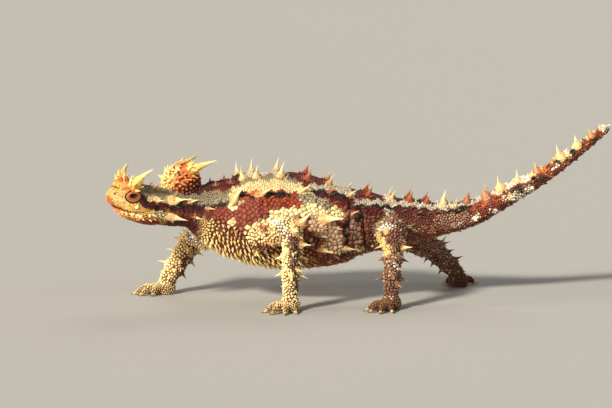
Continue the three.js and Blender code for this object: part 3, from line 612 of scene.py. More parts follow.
CREAM = srgb(236, 218, 158)
YELLOW = srgb(228, 187, 94)
ORANGE = srgb(206, 112, 48)
RUST = srgb(148, 56, 26)
MAROON = srgb(88, 22, 18)
BLACK = srgb(18, 8, 9)
OLIVE = srgb(150, 140, 112)
PALE = srgb(206, 200, 178)
WHITE = srgb(240, 234, 210)
STRAW = YELLOW * 0.5 + CREAM * 0.5
MAUVE = srgb(120, 56, 40)
GREY = srgb(150, 112, 94)
BROWN = srgb(112, 74, 58)


def pixels(points):
    x, y, z = points.T
    px = PHOTO_ORIGIN[0] + (PHOTO_RIGHT[0] * x + PHOTO_RIGHT[1] * y) / PIXEL
    py = PHOTO_ORIGIN[1] - (PHOTO_UP[2] * z + PHOTO_UP[0] * x + PHOTO_UP[1] * y) / PIXEL
    return px, py


def ripple(px, py, size=1.0):
    """The same place with its borders made uneven."""
    a = 1.3 * np.sin(0.55 * py + 1.1 * np.sin(0.31 * px)) + 0.8 * np.sin(1.35 * py + 0.8 * px)
    b = 1.3 * np.sin(0.49 * px + 1.3 * np.sin(0.37 * py)) + 0.8 * np.sin(1.21 * px - 0.9 * py)
    return px + size * a, py + size * b


def stroke(px, py, line, half, soft=0.9):
    """1 on a line of given half width, fading to 0 at its edge."""
    line = np.asarray(line, float)
    best = np.full(len(px), 1e9)
    for (x0, y0), (x1, y1) in zip(line[:-1], line[1:]):
        dx, dy = x1 - x0, y1 - y0
        t = np.clip(((px - x0) * dx + (py - y0) * dy) / (dx * dx + dy * dy), 0, 1)
        best = np.minimum(best, np.hypot(px - x0 - t * dx, py - y0 - t * dy))
    return 1 - smooth(half - soft, half + soft, best)


def lay(colour, over, mask):
    return colour * (1 - mask[:, None]) + np.asarray(over) * mask[:, None]


# Marks of the trunk and tail: colour, line in pixels, half width
TRUNK_MARKS = [
    (OLIVE, [(148, 191), (176, 193), (200, 196), (222, 199), (242, 196)], 7.5),
    (OLIVE, [(206, 190), (208, 204)], 6),
    (BLACK, [(168, 207), (190, 206), (208, 208), (224, 205), (236, 200)], 2.4),
    (BLACK, [(150, 182), (172, 184), (184, 193), (200, 191)], 2.6),
    (MAUVE, [(178, 214), (200, 216), (216, 216)], 2.6),
    (MAROON, [(200, 190), (215, 184), (238, 180)], 4.5),
    (MAROON, [(205, 178), (240, 174)], 6),
    (BLACK, [(204, 184), (222, 179), (246, 175)], 2.3),
    (OLIVE, [(246, 181), (268, 177), (290, 179)], 6),
    (PALE, [(246, 172), (290, 168)], 4.5),
    (MAROON, [(294, 172), (312, 174), (330, 180)], 6.5),
    (CREAM, [(236, 193), (256, 186), (280, 185), (300, 189), (312, 198)], 5.2),
    (CREAM, [(306, 208), (322, 212), (338, 214)], 6.5),
    (OLIVE, [(304, 198), (318, 200), (328, 206)], 4.5),
    (RUST, [(246, 196), (270, 197), (296, 203)], 4.2),
    (BLACK, [(240, 194), (254, 196), (272, 195), (290, 195)], 2.3),
    (ORANGE, [(250, 193), (268, 192)], 1.6),
    (CREAM, [(231, 204), (235, 208)], 2.6),
    (CREAM, [(163, 199), (172, 201)], 3.4),
    (CREAM, [(165, 216), (172, 218)], 3.2),
    (YELLOW, [(169, 210), (171, 211)], 1.9),
    (CREAM, [(230, 222), (234, 223)], 3.6),
    (MAROON, [(318, 191), (336, 197), (352, 204)], 5),
    (PALE, [(312, 187), (330, 189), (344, 190), (352, 196)], 3.0),
    (PALE, [(333, 178), (340, 186), (350, 193)], 4.2),
    (BLACK, [(312, 191), (330, 193), (346, 197)], 2.0),
    (MAROON, [(350, 184), (366, 192), (380, 196)], 5.2),
    (PALE, [(356, 202), (384, 203), (412, 204), (434, 207), (458, 206), (480, 200), (500, 191)], 2.8),
    (PALE, [(388, 196), (388, 212)], 3.6),
    (BLACK, [(356, 207), (384, 207), (412, 209), (434, 212), (452, 212), (476, 205)], 2.3),
    (BLACK, [(396, 199), (416, 200), (436, 202)], 1.8),
    (MAROON, [(362, 211), (378, 212)], 4.2),
    (MAROON, [(400, 212), (418, 214), (440, 218)], 5.4),
    (BLACK, [(344, 224), (346, 240), (342, 254)], 2.0),
    (BLACK, [(358, 214), (357, 232), (360, 246)], 1.9),
    (BLACK, [(308, 214), (313, 232)], 1.2),
    (CREAM, [(250, 232), (268, 226), (286, 226), (294, 236)], 7.5),
    (CREAM, [(276, 214), (300, 212)], 4.5),
    (GREY * 1.1 + CREAM * 0.25, [(318, 226), (330, 232), (336, 244)], 9),
    (CREAM, [(322, 248), (332, 250)], 1.8),
    (CREAM, [(352, 247), (362, 249)], 1.9),
    (GREY, [(352, 226), (356, 244)], 5),
    (GREY, [(440, 219), (456, 221), (472, 214)], 6.5),
    (WHITE, [(458, 223), (460, 224)], 1.9),
    (CREAM, [(451, 206), (455, 207)], 1.6),
    (BLACK, [(456, 207), (470, 212), (476, 209)], 1.8),
    (RUST * 0.85, [(474, 210), (490, 202), (500, 198)], 5.0),
    (ORANGE, [(482, 204), (486, 202)], 2.0),
    (ORANGE, [(499, 200), (503, 198)], 1.8),
    (WHITE, [(474, 216), (477, 217)], 2.4),
    (WHITE, [(492, 212), (496, 211)], 2.4),
    (WHITE, [(498, 190), (505, 184), (512, 181), (524, 178)], 4.4),
    (PALE, [(506, 197), (518, 193), (528, 188)], 4.0),
    (YELLOW, [(508, 194), (509, 192)], 1.4),
    (WHITE, [(517, 199), (521, 198)], 2.4),
    (WHITE, [(525, 188), (530, 186)], 2.8),
    (RUST * 0.75, [(534, 182), (550, 172), (560, 164)], 5.0),
    (BLACK, [(532, 179), (538, 181), (544, 178)], 2.4),
    (ORANGE, [(538, 172), (544, 170)], 1.8),
    (CREAM, [(528, 176), (540, 168), (546, 164)], 1.5),
    (YELLOW, [(550, 161), (556, 158)], 2.4),
    (WHITE, [(552, 168), (556, 166)], 2.4),
    (BLACK, [(557, 163), (562, 160)], 2.6),
    (WHITE, [(560, 155), (568, 148), (578, 141)], 4.6),
    (CREAM, [(565, 157), (569, 154)], 2.6),
    (RUST * 0.75, [(584, 146), (600, 136)], 4.0),
    (YELLOW, [(586, 138), (592, 132)], 1.8),
    (BLACK, [(579, 141), (582, 139)], 2.2),
    (BLACK, [(510, 192), (522, 188), (534, 183)], 1.6),
    (BLACK, [(570, 153), (580, 146)], 1.7),
    (BLACK, [(590, 143), (598, 137)], 1.5),
    (WHITE, [(602, 128), (608, 124)], 4),
]


def trunk_paint(points, share, angle):
    centre_y = np.interp(share, np.linspace(0, 1, 101), TRUNK.at(np.linspace(0, 1, 101))[0][:, 1])
    near = points.copy()
    near[:, 1] = centre_y - np.abs(points[:, 1] - centre_y)
    px, py = ripple(*pixels(near), 0.9)
    down = np.abs(angle) / math.pi
    colour = np.tile(RUST * 0.8, (len(points), 1))
    colour = lay(colour, MAROON, smooth(215, 200, px) * smooth(0.42, 0.5, down))
    colour = lay(colour, MAUVE, 0.6 * smooth(0.3, 0.45, down) * smooth(215, 240, px) * smooth(440, 380, px))
    hips = smooth(0.3, 0.42, down) * smooth(338, 350, px) * smooth(474, 450, px)
    colour = lay(colour, BROWN * 0.75, 0.6 * hips)
    colour = lay(colour, MAROON * 1.3, 0.6 * smooth(470, 490, px))
    back = smooth(0.26, 0.14, down)
    colour = lay(colour, MAROON, back)
    colour = lay(colour, MAROON * 0.8, smooth(0.6, 0.72, down) * smooth(452, 470, px))
    for over, line, half in TRUNK_MARKS:
        colour = lay(colour, over, stroke(px, py, line, half))
    chest = smooth(0.56, 0.66, down + 0.03 * np.sin(0.8 * px)) * smooth(196, 210, px) * smooth(316, 292, px)
    colour = lay(colour, YELLOW * 0.6 + CREAM * 0.4, chest)
    under = smooth(0.72, 0.82, down) * smooth(292, 316, px) * smooth(470, 452, px)
    colour = lay(colour, RUST * 0.9, under * smooth(0.78, 0.86, 1 - 0.2 * np.sin(0.3 * px)) + under * 0.4)
    return colour


HEAD_MARKS = [
    (OLIVE, [(146, 191), (160, 194), (176, 196)], 5.4),
    (BLACK, [(146, 186), (158, 186), (172, 188)], 1.2),
    (MAROON, [(146, 200), (154, 204), (166, 208), (176, 210)], 5.0),
    (BLACK, [(144, 198), (150, 202)], 1.6),
    (CREAM, [(153, 199), (160, 199)], 2.6),
    (CREAM, [(162, 214), (174, 218)], 4.0),
    (ORANGE, [(140, 186), (134, 188), (126, 190)], 1.4),
    (ORANGE, [(112, 198), (116, 206), (124, 209)], 2.6),
    (STRAW, [(118, 194), (122, 200), (130, 203)], 3.4),
    (srgb(222, 170, 142), [(113, 208), (119, 211), (126, 213)], 1.8),
    (ORANGE * 0.4 + YELLOW * 0.6, [(120, 213), (134, 216), (146, 216)], 2.2),
    # The thin maroon mouth line and the black nostril dot are painted shade in the mouth's crease and the
    # nostril's hole.
    (MAROON, [(111, 205), (124, 208), (129, 211), (140, 213)], 0.7),
    (BLACK, [(119, 187.6), (122.6, 188.4)], 0.7),
    (RUST, [(140, 222), (160, 222)], 2.2),
]


def head_paint(points):
    local = points - HEAD_BACK
    ahead, out, up = local @ FORWARD, np.abs(local @ LEFT), local[:, 2]
    near = HEAD_BACK + ahead[:, None] * FORWARD + out[:, None] * LEFT + up[:, None] * UP
    px, py = pixels(near)
    wx, wy = ripple(px, py, 0.35)
    colour = np.tile(YELLOW * 0.9 + CREAM * 0.1, (len(points), 1))
    colour = lay(colour, ORANGE * 0.6 + YELLOW * 0.4, 0.5 * smooth(128, 116, px) * smooth(184, 200, py))
    colour = lay(colour, ORANGE * 0.6 + RUST * 0.2, 0.7 * smooth(211, 218, py) * smooth(160, 150, px))
    for over, line, half in HEAD_MARKS:
        colour = lay(colour, over, stroke(wx, wy, line, half, 0.6))
    return colour


def knob_paint(points):
    local = (points - KNOB_CENTRE) / KNOB_RADII
    ahead, up = local @ FORWARD, local[:, 2]
    colour = np.tile(ORANGE * 0.8 + RUST * 0.2, (len(points), 1))
    front = smooth(0.35, 0.75, ahead + 0.3 * up + 0.1 * np.sin(9 * local[:, 1]))
    colour = lay(colour, STRAW, front)
    # Darker towards the lower back, and black at the bottom where the knob meets the neck: painted shade.
    colour = lay(colour, MAROON * 1.2, smooth(0.1, -0.5, up + 0.5 * ahead))
    return lay(colour, BLACK, 0.7 * smooth(-0.62, -0.85, up))


# Marks of the near legs, in the same way
LIMB_MARKS = {
    "fore_left": [
        (MAROON, [(243, 243), (262, 246), (276, 250)], 3.0),
        (RUST, [(262, 226), (268, 230)], 3.0),
        (WHITE, [(270, 218), (280, 222), (286, 232)], 4.0),
        # Brown strokes down the back of the near foreleg: partly its own brown, partly painted shade.
        (BROWN * 0.6, [(294, 238), (296, 252), (297, 270)], 4.6),
        (BROWN * 0.7, [(290, 258), (300, 262)], 2.0),
        (BROWN * 0.65, [(297, 278), (299, 296)], 3.2),
        (CREAM * 1.08, [(284, 244), (284, 262), (287, 280), (290, 292)], 4.2),
        (CREAM, [(299, 268), (300, 272)], 2.6),
    ],
    "fore_right": [
        (WHITE, [(188, 226), (196, 238)], 9.0),
        # Brown stroke down the back of the far foreleg: partly its own brown, partly painted shade.
        (BROWN * 0.7, [(186, 260), (178, 282), (170, 291)], 4.0),
        (CREAM, [(170, 256), (160, 272), (156, 284)], 4.0),
    ],
    "hind_left": [
        (YELLOW * 0.4 + CREAM * 0.5, [(378, 237), (383, 246), (387, 252)], 4.2),
        (BROWN, [(386, 240), (390, 244)], 2.0),
        (WHITE, [(380, 228), (390, 226)], 3.0),
        (WHITE, [(393, 262), (396, 266)], 1.8),
        (GREY, [(394, 278), (398, 284)], 3.0),
    ],
    "hind_right": [
        (BROWN, [(412, 224), (426, 236)], 6.0),
        (GREY, [(428, 240), (450, 262)], 3.0),
    ],
}


def limb_paint(name, points, upper, share, angle):
    bands = np.sin(7 * share + 2.3 * np.sin(angle) + (1.3 if upper else 0.2))
    bases = {
        "fore_left": CREAM * 0.75 + YELLOW * 0.2,
        "fore_right": CREAM * 0.65 + YELLOW * 0.4,
        "hind_left": BROWN * 0.75 + GREY * 0.1,
        "hind_right": BROWN * 0.9,
    }
    colour = np.tile(bases[name], (len(points), 1))
    if name == "fore_left":
        # Painted shade in a rust tone on the back and under side of the near foreleg.
        back_shade = smooth(0.1, 0.8, -np.cos(angle))
        colour = lay(colour, RUST, 0.6 * back_shade * (1 if upper else smooth(0.9, 0.3, share)))
    if name == "fore_right" and not upper:
        # Brown down the back of the far lower foreleg: partly its own brown, partly painted shade.
        colour = lay(colour, BROWN, 0.6 * smooth(0.3, 0.9, -np.cos(angle)))
    if name.startswith("hind"):
        colour = lay(colour, GREY, 0.5 * smooth(0.1, 0.8, bands))
    px, py = ripple(*pixels(points), 0.8)
    for over, line, half in LIMB_MARKS[name]:
        colour = lay(colour, over, stroke(px, py, line, half, 1.2))
    return colour


def paw_paint(name, points):
    if name.startswith("fore"):
        return np.tile(CREAM * 0.75 + YELLOW * 0.25, (len(points), 1))
    return np.tile((YELLOW * 0.12 + BROWN * 0.65) if name == "hind_left" else BROWN * 0.8, (len(points), 1))


def places_of(points):
    """What each point lies on: a list of (zone, reach, share, angle), the smallest reach being its own."""
    zones = []
    for name, loft in (("trunk", TRUNK), ("head", SKULL)):
        share, angle, reach = loft.nearest(points)
        zones.append((name, reach, share, angle))
    reach = np.linalg.norm((points - KNOB_CENTRE) / KNOB_RADII, axis=1)
    zones.append(("knob", reach, np.zeros(len(points)), np.zeros(len(points))))
    for name, lofts in LIMB_LOFTS.items():
        for kind, loft in zip(("upper", "lower"), lofts):
            share, angle, reach = loft.nearest(points)
            zones.append((f"{name} {kind}", reach, share, angle))
        wrist = np.array(LIMBS[name]["end"], float)
        flat = np.linalg.norm((points - wrist)[:, :2], axis=1)
        foot = np.where((points[:, 2] < 3.6) & (flat < 13), 0.9 + 0.05 * points[:, 2], 3.0)
        zones.append((f"{name} paw", foot, flat, points[:, 2]))
    return zones


def paint(points):
    """Colour of each point, mixed across the borders of the body's parts."""
    zones = places_of(points)
    reaches = np.stack([z[1] for z in zones], 1)
    weights = np.exp(-16 * (reaches - reaches.min(1, keepdims=True)))
    weights[weights < 0.03] = 0
    weights /= weights.sum(1, keepdims=True)
    colour = np.zeros((len(points), 3))
    for (name, _, share, angle), weight in zip(zones, weights.T):
        own = weight > 0
        if not own.any():
            continue
        p, s, a = points[own], share[own], angle[own]
        if name == "trunk":
            made = trunk_paint(p, s, a)
        elif name == "head":
            made = head_paint(p)
        elif name == "knob":
            made = knob_paint(p)
        else:
            limb, kind = name.split()
            made = paw_paint(limb, p) if kind == "paw" else limb_paint(limb, p, kind == "upper", s, a)
        colour[own] += made * weight[own, None]
    return colour, [z[0] for z in zones], reaches.argmin(1), zones


# Meshes


def new_object(name, verts, faces, materials=(), smooth_shade=True):
    mesh = bpy.data.meshes.new(name)
    mesh.from_pydata([tuple(v) for v in verts], [], faces)
    mesh.update()
    made = bpy.data.objects.new(name, mesh)
    bpy.context.scene.collection.objects.link(made)
    for material in materials:
        mesh.materials.append(material)
    if smooth_shade:
        mesh.shade_smooth()
    return made


def fast_object(name, verts, faces3, material):
    """An object of many triangles, given as arrays."""
    mesh = bpy.data.meshes.new(name)
    mesh.vertices.add(len(verts))
    mesh.vertices.foreach_set("co", np.asarray(verts, np.float32).ravel())
    mesh.loops.add(len(faces3) * 3)
    mesh.loops.foreach_set("vertex_index", np.asarray(faces3, np.int32).ravel())
    mesh.polygons.add(len(faces3))
    mesh.polygons.foreach_set("loop_start", np.arange(0, len(faces3) * 3, 3, dtype=np.int32))
    mesh.update(calc_edges=True)
    mesh.materials.append(material)
    mesh.shade_smooth()
    made = bpy.data.objects.new(name, mesh)
    bpy.context.scene.collection.objects.link(made)
    return made


def colour_points(made, name, values):
    attribute = made.data.attributes.new(name, "FLOAT_COLOR", "POINT")
    full = np.ones((len(values), 4), np.float32)
    full[:, :3] = values
    attribute.data.foreach_set("color", full.ravel())


def number_points(made, name, values):
    attribute = made.data.attributes.new(name, "FLOAT", "POINT")
    attribute.data.foreach_set("value", np.asarray(values, np.float32))


def vertices_of(made):
    co = np.empty(len(made.data.vertices) * 3, np.float32)
    made.data.vertices.foreach_get("co", co)
    return co.reshape(-1, 3).astype(float)


def normals_of(made):
    normals = np.empty(len(made.data.vertices) * 3, np.float32)
    made.data.vertices.foreach_get("normal", normals)
    return normals.reshape(-1, 3).astype(float)


# Atlas of the skin's own shape: each part has its rectangle, x0, y0, width, height
ATLAS = {
    "trunk": (0.01, 0.42, 0.98, 0.57),
    "head": (0.01, 0.22, 0.24, 0.18),
    "knob": (0.27, 0.22, 0.12, 0.18),
}
for _i, _name in enumerate(LIMBS):
    ATLAS[f"{_name} upper"] = (0.41 + 0.145 * _i, 0.31, 0.135, 0.09)
    ATLAS[f"{_name} lower"] = (0.41 + 0.145 * _i, 0.2, 0.135, 0.1)
    ATLAS[f"{_name} paw"] = (0.01 + 0.24 * _i, 0.01, 0.22, 0.17)


def atlas_place(points, names, own, zones):
    """Where each point's root lies on the unwrap."""
    place = np.zeros((len(points), 2))
    for i, name in enumerate(names):
        mask = own == i
        if not mask.any():
            continue
        x0, y0, wide, high = ATLAS[name]
        if name == "knob":
            local = (points[mask] - KNOB_CENTRE) / KNOB_RADII
            u, v = np.arctan2(local[:, 1], local[:, 0]) / (2 * math.pi) + 0.5, 0.5 + 0.5 * local[:, 2] / 1.3
        elif name.endswith("paw"):
            limb = LIMBS[name.split()[0]]
            local = points[mask] - np.array(limb["end"], float)
            u, v = 0.5 + local[:, 0] / 28, 0.5 + local[:, 1] / 28
            v = v * 0.5 + 0.5 * (points[mask][:, 2] > 1.4)
        else:
            u, v = zones[i][2][mask], zones[i][3][mask] / (2 * math.pi) + 0.5
        place[mask] = np.stack([x0 + np.clip(u, 0, 1) * wide, y0 + np.clip(v, 0, 1) * high], 1)
    return place


def add_uv(made, place):
    """Sets the bake map from a place for each vertex."""
    layer = made.data.uv_layers.new(name="OFBake")
    loops = np.empty(len(made.data.loops), np.int32)
    made.data.loops.foreach_get("vertex_index", loops)
    layer.data.foreach_set("uv", np.asarray(place, np.float32)[loops].ravel())


# Materials


def principled(name):
    material = bpy.data.materials.new(name)
    material.use_nodes = True
    nodes, links = material.node_tree.nodes, material.node_tree.links
    return material, nodes, links, nodes["Principled BSDF"]


def node(nodes, kind, **values):
    made = nodes.new(kind)
    for key, value in values.items():
        if key in made.inputs:
            made.inputs[key].default_value = value
        else:
            setattr(made, key, value)
    return made


def ramp(nodes, links, value, *stops):
    """Colours over a value, each stop a place and its colour."""
    made = node(nodes, "ShaderNodeValToRGB")
    elements = made.color_ramp.elements
    for element, (place, colour) in zip(elements, (stops[0], stops[-1])):
        element.position = place
        element.color = (*colour, 1)
    for place, colour in stops[1:-1]:
        elements.new(place).color = (*colour, 1)
    links.new(value, made.inputs["Fac"])
    return made.outputs["Color"]


def blended(nodes, links, kind, share, under, over):
    """Two colours mixed in the given way."""
    made = node(nodes, "ShaderNodeMix", data_type="RGBA", blend_type=kind)
    made.inputs[0].default_value = share
    links.new(under, made.inputs[6])
    links.new(over, made.inputs[7])
    return made.outputs[2]


def in_relief(nodes, links, shader, height, **values):
    """Lets a value raise or sink the surface."""
    made = node(nodes, "ShaderNodeBump", **values)
    links.new(height, made.inputs["Height"])
    links.new(made.outputs["Normal"], shader.inputs["Normal"])


def finished(shader, colour, roughness, shine, links):
    links.new(colour, shader.inputs["Base Color"])
    shader.inputs["Roughness"].default_value = roughness
    shader.inputs["Specular IOR Level"].default_value = shine


def skin_material(name, roughness, cells, bump, dark):
    """Colour from the markings, broken by fine cells and noise, with a matching relief: each cell is painted
    darker towards its sunken border, as painted shade.
    """
    material, nodes, links, shader = principled(name)
    tone = node(nodes, "ShaderNodeAttribute", attribute_name="tone")
    place = node(nodes, "ShaderNodeTexCoord")
    grain = node(nodes, "ShaderNodeTexVoronoi", Scale=cells)
    cloud = node(nodes, "ShaderNodeTexNoise", Scale=cells * 0.23, Detail=4.0, Roughness=0.6)
    links.new(place.outputs["Object"], grain.inputs["Vector"])
    links.new(place.outputs["Object"], cloud.inputs["Vector"])
    fine = grain.outputs["Distance"]
    # Painted shade: each fine cell darker towards its sunken border, down to the given darkness
    shade = ramp(nodes, links, fine, (0.25, (1.12, 1.1, 1.06)), (0.85, (dark, dark * 0.9, dark * 0.85)))
    cloudy = ramp(nodes, links, cloud.outputs["Fac"], (0.3, (0.72, 0.68, 0.66)), (0.7, (1.22, 1.2, 1.16)))
    shaded = blended(nodes, links, "MULTIPLY", 1.0, tone.outputs["Color"], shade)
    colour = blended(nodes, links, "MULTIPLY", 1.0, shaded, cloudy)
    in_relief(nodes, links, shader, fine, Strength=bump, Distance=0.0003, invert=True)
    finished(shader, colour, roughness, 0.35, links)
    return material


def spike_material(name, roughness, relief):
    """Colour from the markings, lightly clouded, for scales, thorns, horns and claws."""
    material, nodes, links, shader = principled(name)
    tone = node(nodes, "ShaderNodeAttribute", attribute_name="tone")
    place = node(nodes, "ShaderNodeTexCoord")
    cloud = node(nodes, "ShaderNodeTexNoise", Scale=900.0, Detail=3.0, Roughness=0.6)
    links.new(place.outputs["Object"], cloud.inputs["Vector"])
    value = cloud.outputs["Fac"]
    cloudy = ramp(nodes, links, value, (0.3, (0.74, 0.7, 0.68)), (0.7, (1.18, 1.17, 1.15)))
    colour = blended(nodes, links, "MULTIPLY", 1.0, tone.outputs["Color"], cloudy)
    in_relief(nodes, links, shader, value, Strength=relief, Distance=0.0002)
    finished(shader, colour, roughness, 0.25, links)
    return material


def graded(tones, rise, foot, tip):
    """Colours along each cone, from a foot darkened with a warm tint as painted shade where it meets the
    skin and its neighbours, to a light tip; foot and tip may differ for each.
    """
    rise, foot, tip = rise[:, None], np.reshape(foot, (-1, 1)), np.reshape(tip, (-1, 1))
    # Warm tint of the painted shade at each cone's foot
    dark = np.array([1.0, 0.72, 0.58])
    low = foot * dark + (1.06 - foot * dark) * smooth(0.0, 0.4, rise)
    light = 0.45 * np.clip(2.2 * tones, 0, 0.9) + 0.55 * CREAM
    share = tip * smooth(0.3, 0.95, rise)
    return tones * low * (1 - share) + light * share


def eye_material():
    """A dark pupil in a thin brown iris, under a wet surface. The eye's own Z looks outwards."""
    material, nodes, links, shader = principled("eye")
    rise = node(nodes, "ShaderNodeAttribute", attribute_name="rise")
    streak = node(nodes, "ShaderNodeTexNoise", Scale=2600.0, Detail=3.0)
    stops = [(0.9, srgb(52, 24, 14)), (0.908, srgb(150, 84, 34)), (0.925, srgb(8, 5, 6))]
    iris = ramp(nodes, links, rise.outputs["Fac"], *stops)
    colour = blended(nodes, links, "OVERLAY", 0.35, iris, streak.outputs["Fac"])
    links.new(colour, shader.inputs["Base Color"])
    shader.inputs["Roughness"].default_value = 0.08
    shader.inputs["Coat Weight"].default_value = 0.6
    shader.inputs["Coat Roughness"].default_value = 0.04
    return material


# The skin


def skin_shape():
    """One closed surface over all the lofts, in the animal's own frame."""
    parts = [TRUNK.mesh(220, 72), SKULL.mesh(60, 56), ball_mesh(KNOB_CENTRE, KNOB_RADII, HEAD_YAW)]
    for side in (-1, 1):
        parts.append(ball_mesh(in_head(7.3, -side * 5.3, 5.6), (3.8, 2.4, 2.6), HEAD_YAW))
        parts.append(ball_mesh(EYES[side], (2.75, 2.75, 2.75)))
        parts.append(ball_mesh(in_head(3.4, -side * 5.6, -2.6), (3.4, 2.6, 2.4), HEAD_YAW))
    for name in LIMBS:
        for loft in LIMB_LOFTS[name]:
            parts.append(loft.mesh(28, 28))
        parts += PAWS[name][0]
    verts, faces, count = [], [], 0
    for v, f in parts:
        verts.append(v)
        faces += [tuple(i + count for i in face) for face in f]
        count += len(v)
    made = new_object("skin", np.vstack(verts), faces)
    bpy.context.view_layer.objects.active = made
    remesh = made.modifiers.new("join", "REMESH")
    remesh.mode = "VOXEL"
    remesh.voxel_size = VOXEL
    relax = made.modifiers.new("relax", "SMOOTH")
    relax.factor = 0.5
    relax.iterations = 4
    graph = bpy.context.evaluated_depsgraph_get()
    mesh = bpy.data.meshes.new_from_object(made.evaluated_get(graph))
    made.modifiers.clear()
    made.data = mesh
    return made


# Ahead of the head's back, and height over it
MOUTH_LINE = [(13.6, 0.8), (11.3, -0.2), (9.2, -1.0), (6.0, -1.5), (3.9, -1.2)]
# Share of the skull's line, and degrees from its top
NOSTRIL_PLACE = (0.9, 38)
EAR_PLACE = (0.26, 94)
EYE_OPENING = (2.75, 2.1)


def face_hollows(side):
    """Where the nostril and the ear of one side lie."""
    return [SKULL.point(share, side * angle * DEG)[0] for share, angle in (NOSTRIL_PLACE, EAR_PLACE)]


def carve_head(points, normals):
    """Moves the skin in at the mouth, nostrils, ears and eyes, and out at the lips and the nostrils' rims.
    """
    local = points - HEAD_BACK
    ahead, out, up = local @ FORWARD, local @ LEFT, local[:, 2]
    move = np.zeros(len(points))
    in_front = smooth(2.0, 4.0, ahead)
    near = stroke(ahead, up, MOUTH_LINE, 0.18, 0.26)
    lips = stroke(ahead, up, MOUTH_LINE, 1.0, 0.6)
    move += in_front * (0.2 * lips - 0.6 * near)
    # Painted shade for the skin's colour: the mouth line here, then the nostril holes, ear cups and eye
    # openings below.
    dark = 0.8 * in_front * near
    for side in (-1, 1):
        nostril, ear = face_hollows(side)
        hole = smooth(0.75, 0.3, np.linalg.norm(points - nostril, axis=1))
        rim = smooth(1.5, 0.9, np.linalg.norm(points - nostril, axis=1)) - hole
        cup = smooth(1.7, 0.5, np.linalg.norm((points - ear) * (1, 1, 0.8), axis=1))
        move += 0.15 * rim - 0.7 * hole - 0.6 * cup
        dark = np.maximum(dark, np.maximum(hole, 0.6 * cup))
    points = points + move[:, None] * normals
    for side in (-1, 1):
        look, wide, tall = eye_axes(side)
        offset = points - EYES[side]
        depth = offset @ look
        round_ = np.hypot((offset @ wide) / EYE_OPENING[0], (offset @ tall) / EYE_OPENING[1])
        inside = (depth > 0) & (round_ < 1.0) & (np.linalg.norm(offset, axis=1) < 5)
        target = 0.9 + 0.75 * smooth(0.6, 1.0, round_)
        points[inside] -= np.maximum(depth - target, 0)[inside, None] * look
        dark = np.maximum(dark, inside * 1.0)
    return points, dark


def fold_skin(points, normals, zones):
    """Creases of the neck, waist, elbows and belly, as small movements of the skin."""
    trunk = zones[0]
    share, angle, own = trunk[2], trunk[3], smooth(1.25, 1.0, trunk[1])
    x = points[:, 0]
    line = TRUNK.length * share
    neck = smooth(26, 20, line) * smooth(1.2, 1.9, np.abs(angle))
    move = -0.35 * own * neck * smooth(0.75, 1.0, np.sin(2.1 * line + 0.8 * np.sin(3 * angle)))
    side = smooth(0.7, 1.1, np.abs(angle)) * smooth(2.7, 2.3, np.abs(angle))
    for place, bend, deep in ((14.6, 1.6, 0.9), (19.8, -1.2, 0.8), (4.0, 1.4, 0.5), (-14.0, 1.0, 0.5)):
        gap = np.abs(x - place - bend * np.cos(angle))
        move -= deep * own * side * smooth(0.9, 0.1, gap)
        move += 0.25 * own * side * smooth(3.0, 1.2, gap)
    lumps = np.sin(0.62 * x + 1.7 * np.sin(2 * angle)) * np.sin(3.1 * angle + 0.35 * x)
    move += 0.28 * own * lumps * smooth(-34, -26, x) * smooth(34, 24, x)
    move += 0.12 * own * smooth(42, 50, x) * np.sin(2.4 * line)
    points = points + move[:, None] * normals
    points[:, 2] = np.maximum(points[:, 2], 0)
    return points


# Scales and thorns


def frames_of(ways, lean):
    """Two directions across each way, the first one nearest to lean."""
    first = lean - ways * (lean * ways).sum(1)[:, None]
    weak = np.linalg.norm(first, axis=1) < 1e-3
    first[weak] = np.cross(ways[weak], [0.3, 0.5, 0.8])
    first = unit(first)
    return first, np.cross(ways, first)


def rings_mesh(bases, ways, lean, radii, heights, profile, sides, turns, bend, facing=None):
    """Many cones at once: each ring of profile is (rise, reach), as shares of height and radius."""
    first, second = frames_of(ways if facing is None else facing, lean)
    count = len(bases)
    bend = np.broadcast_to(bend, (count,))
    wide = np.reshape(radii, (count, -1))
    turn = np.linspace(0, 2 * math.pi, sides, endpoint=False)[None] + turns[:, None]
    rows, rises = [], []
    for rise, reach in profile:
        rise = np.broadcast_to(rise, (count,))
        r = (wide * np.reshape(reach, (-1, 1)))[:, :, None]
        circle = np.cos(turn)[..., None] * first[:, None] + np.sin(turn)[..., None] * second[:, None]
        lift = (heights * rise)[:, None, None] * ways[:, None]
        sweep = (bend * heights * np.maximum(rise, 0) ** 2)[:, None, None] * first[:, None]
        rows.append(bases[:, None] + r * circle + lift + sweep)
        rises.append(np.broadcast_to(np.maximum(rise, 0)[:, None], (count, sides)))
    apex = bases + heights[:, None] * ways + (bend * heights)[:, None] * first
    verts = np.concatenate(rows + [apex[:, None]], 1)
    rise_all = np.concatenate(rises + [np.ones((count, 1))], 1)
    faces = []
    rings = len(profile)
    for a, b in ring_pairs(rings, sides):
        faces += [(a, b, b + sides), (a, b + sides, a + sides)]
    for k in range(sides):
        a, b = (rings - 1) * sides + k, (rings - 1) * sides + (k + 1) % sides
        faces.append((a, b, rings * sides))
    per = verts.shape[1]
    all_faces = (np.array(faces)[None] + per * np.arange(count)[:, None, None]).reshape(-1, 3)
    return verts.reshape(-1, 3), all_faces, rise_all.reshape(-1), per


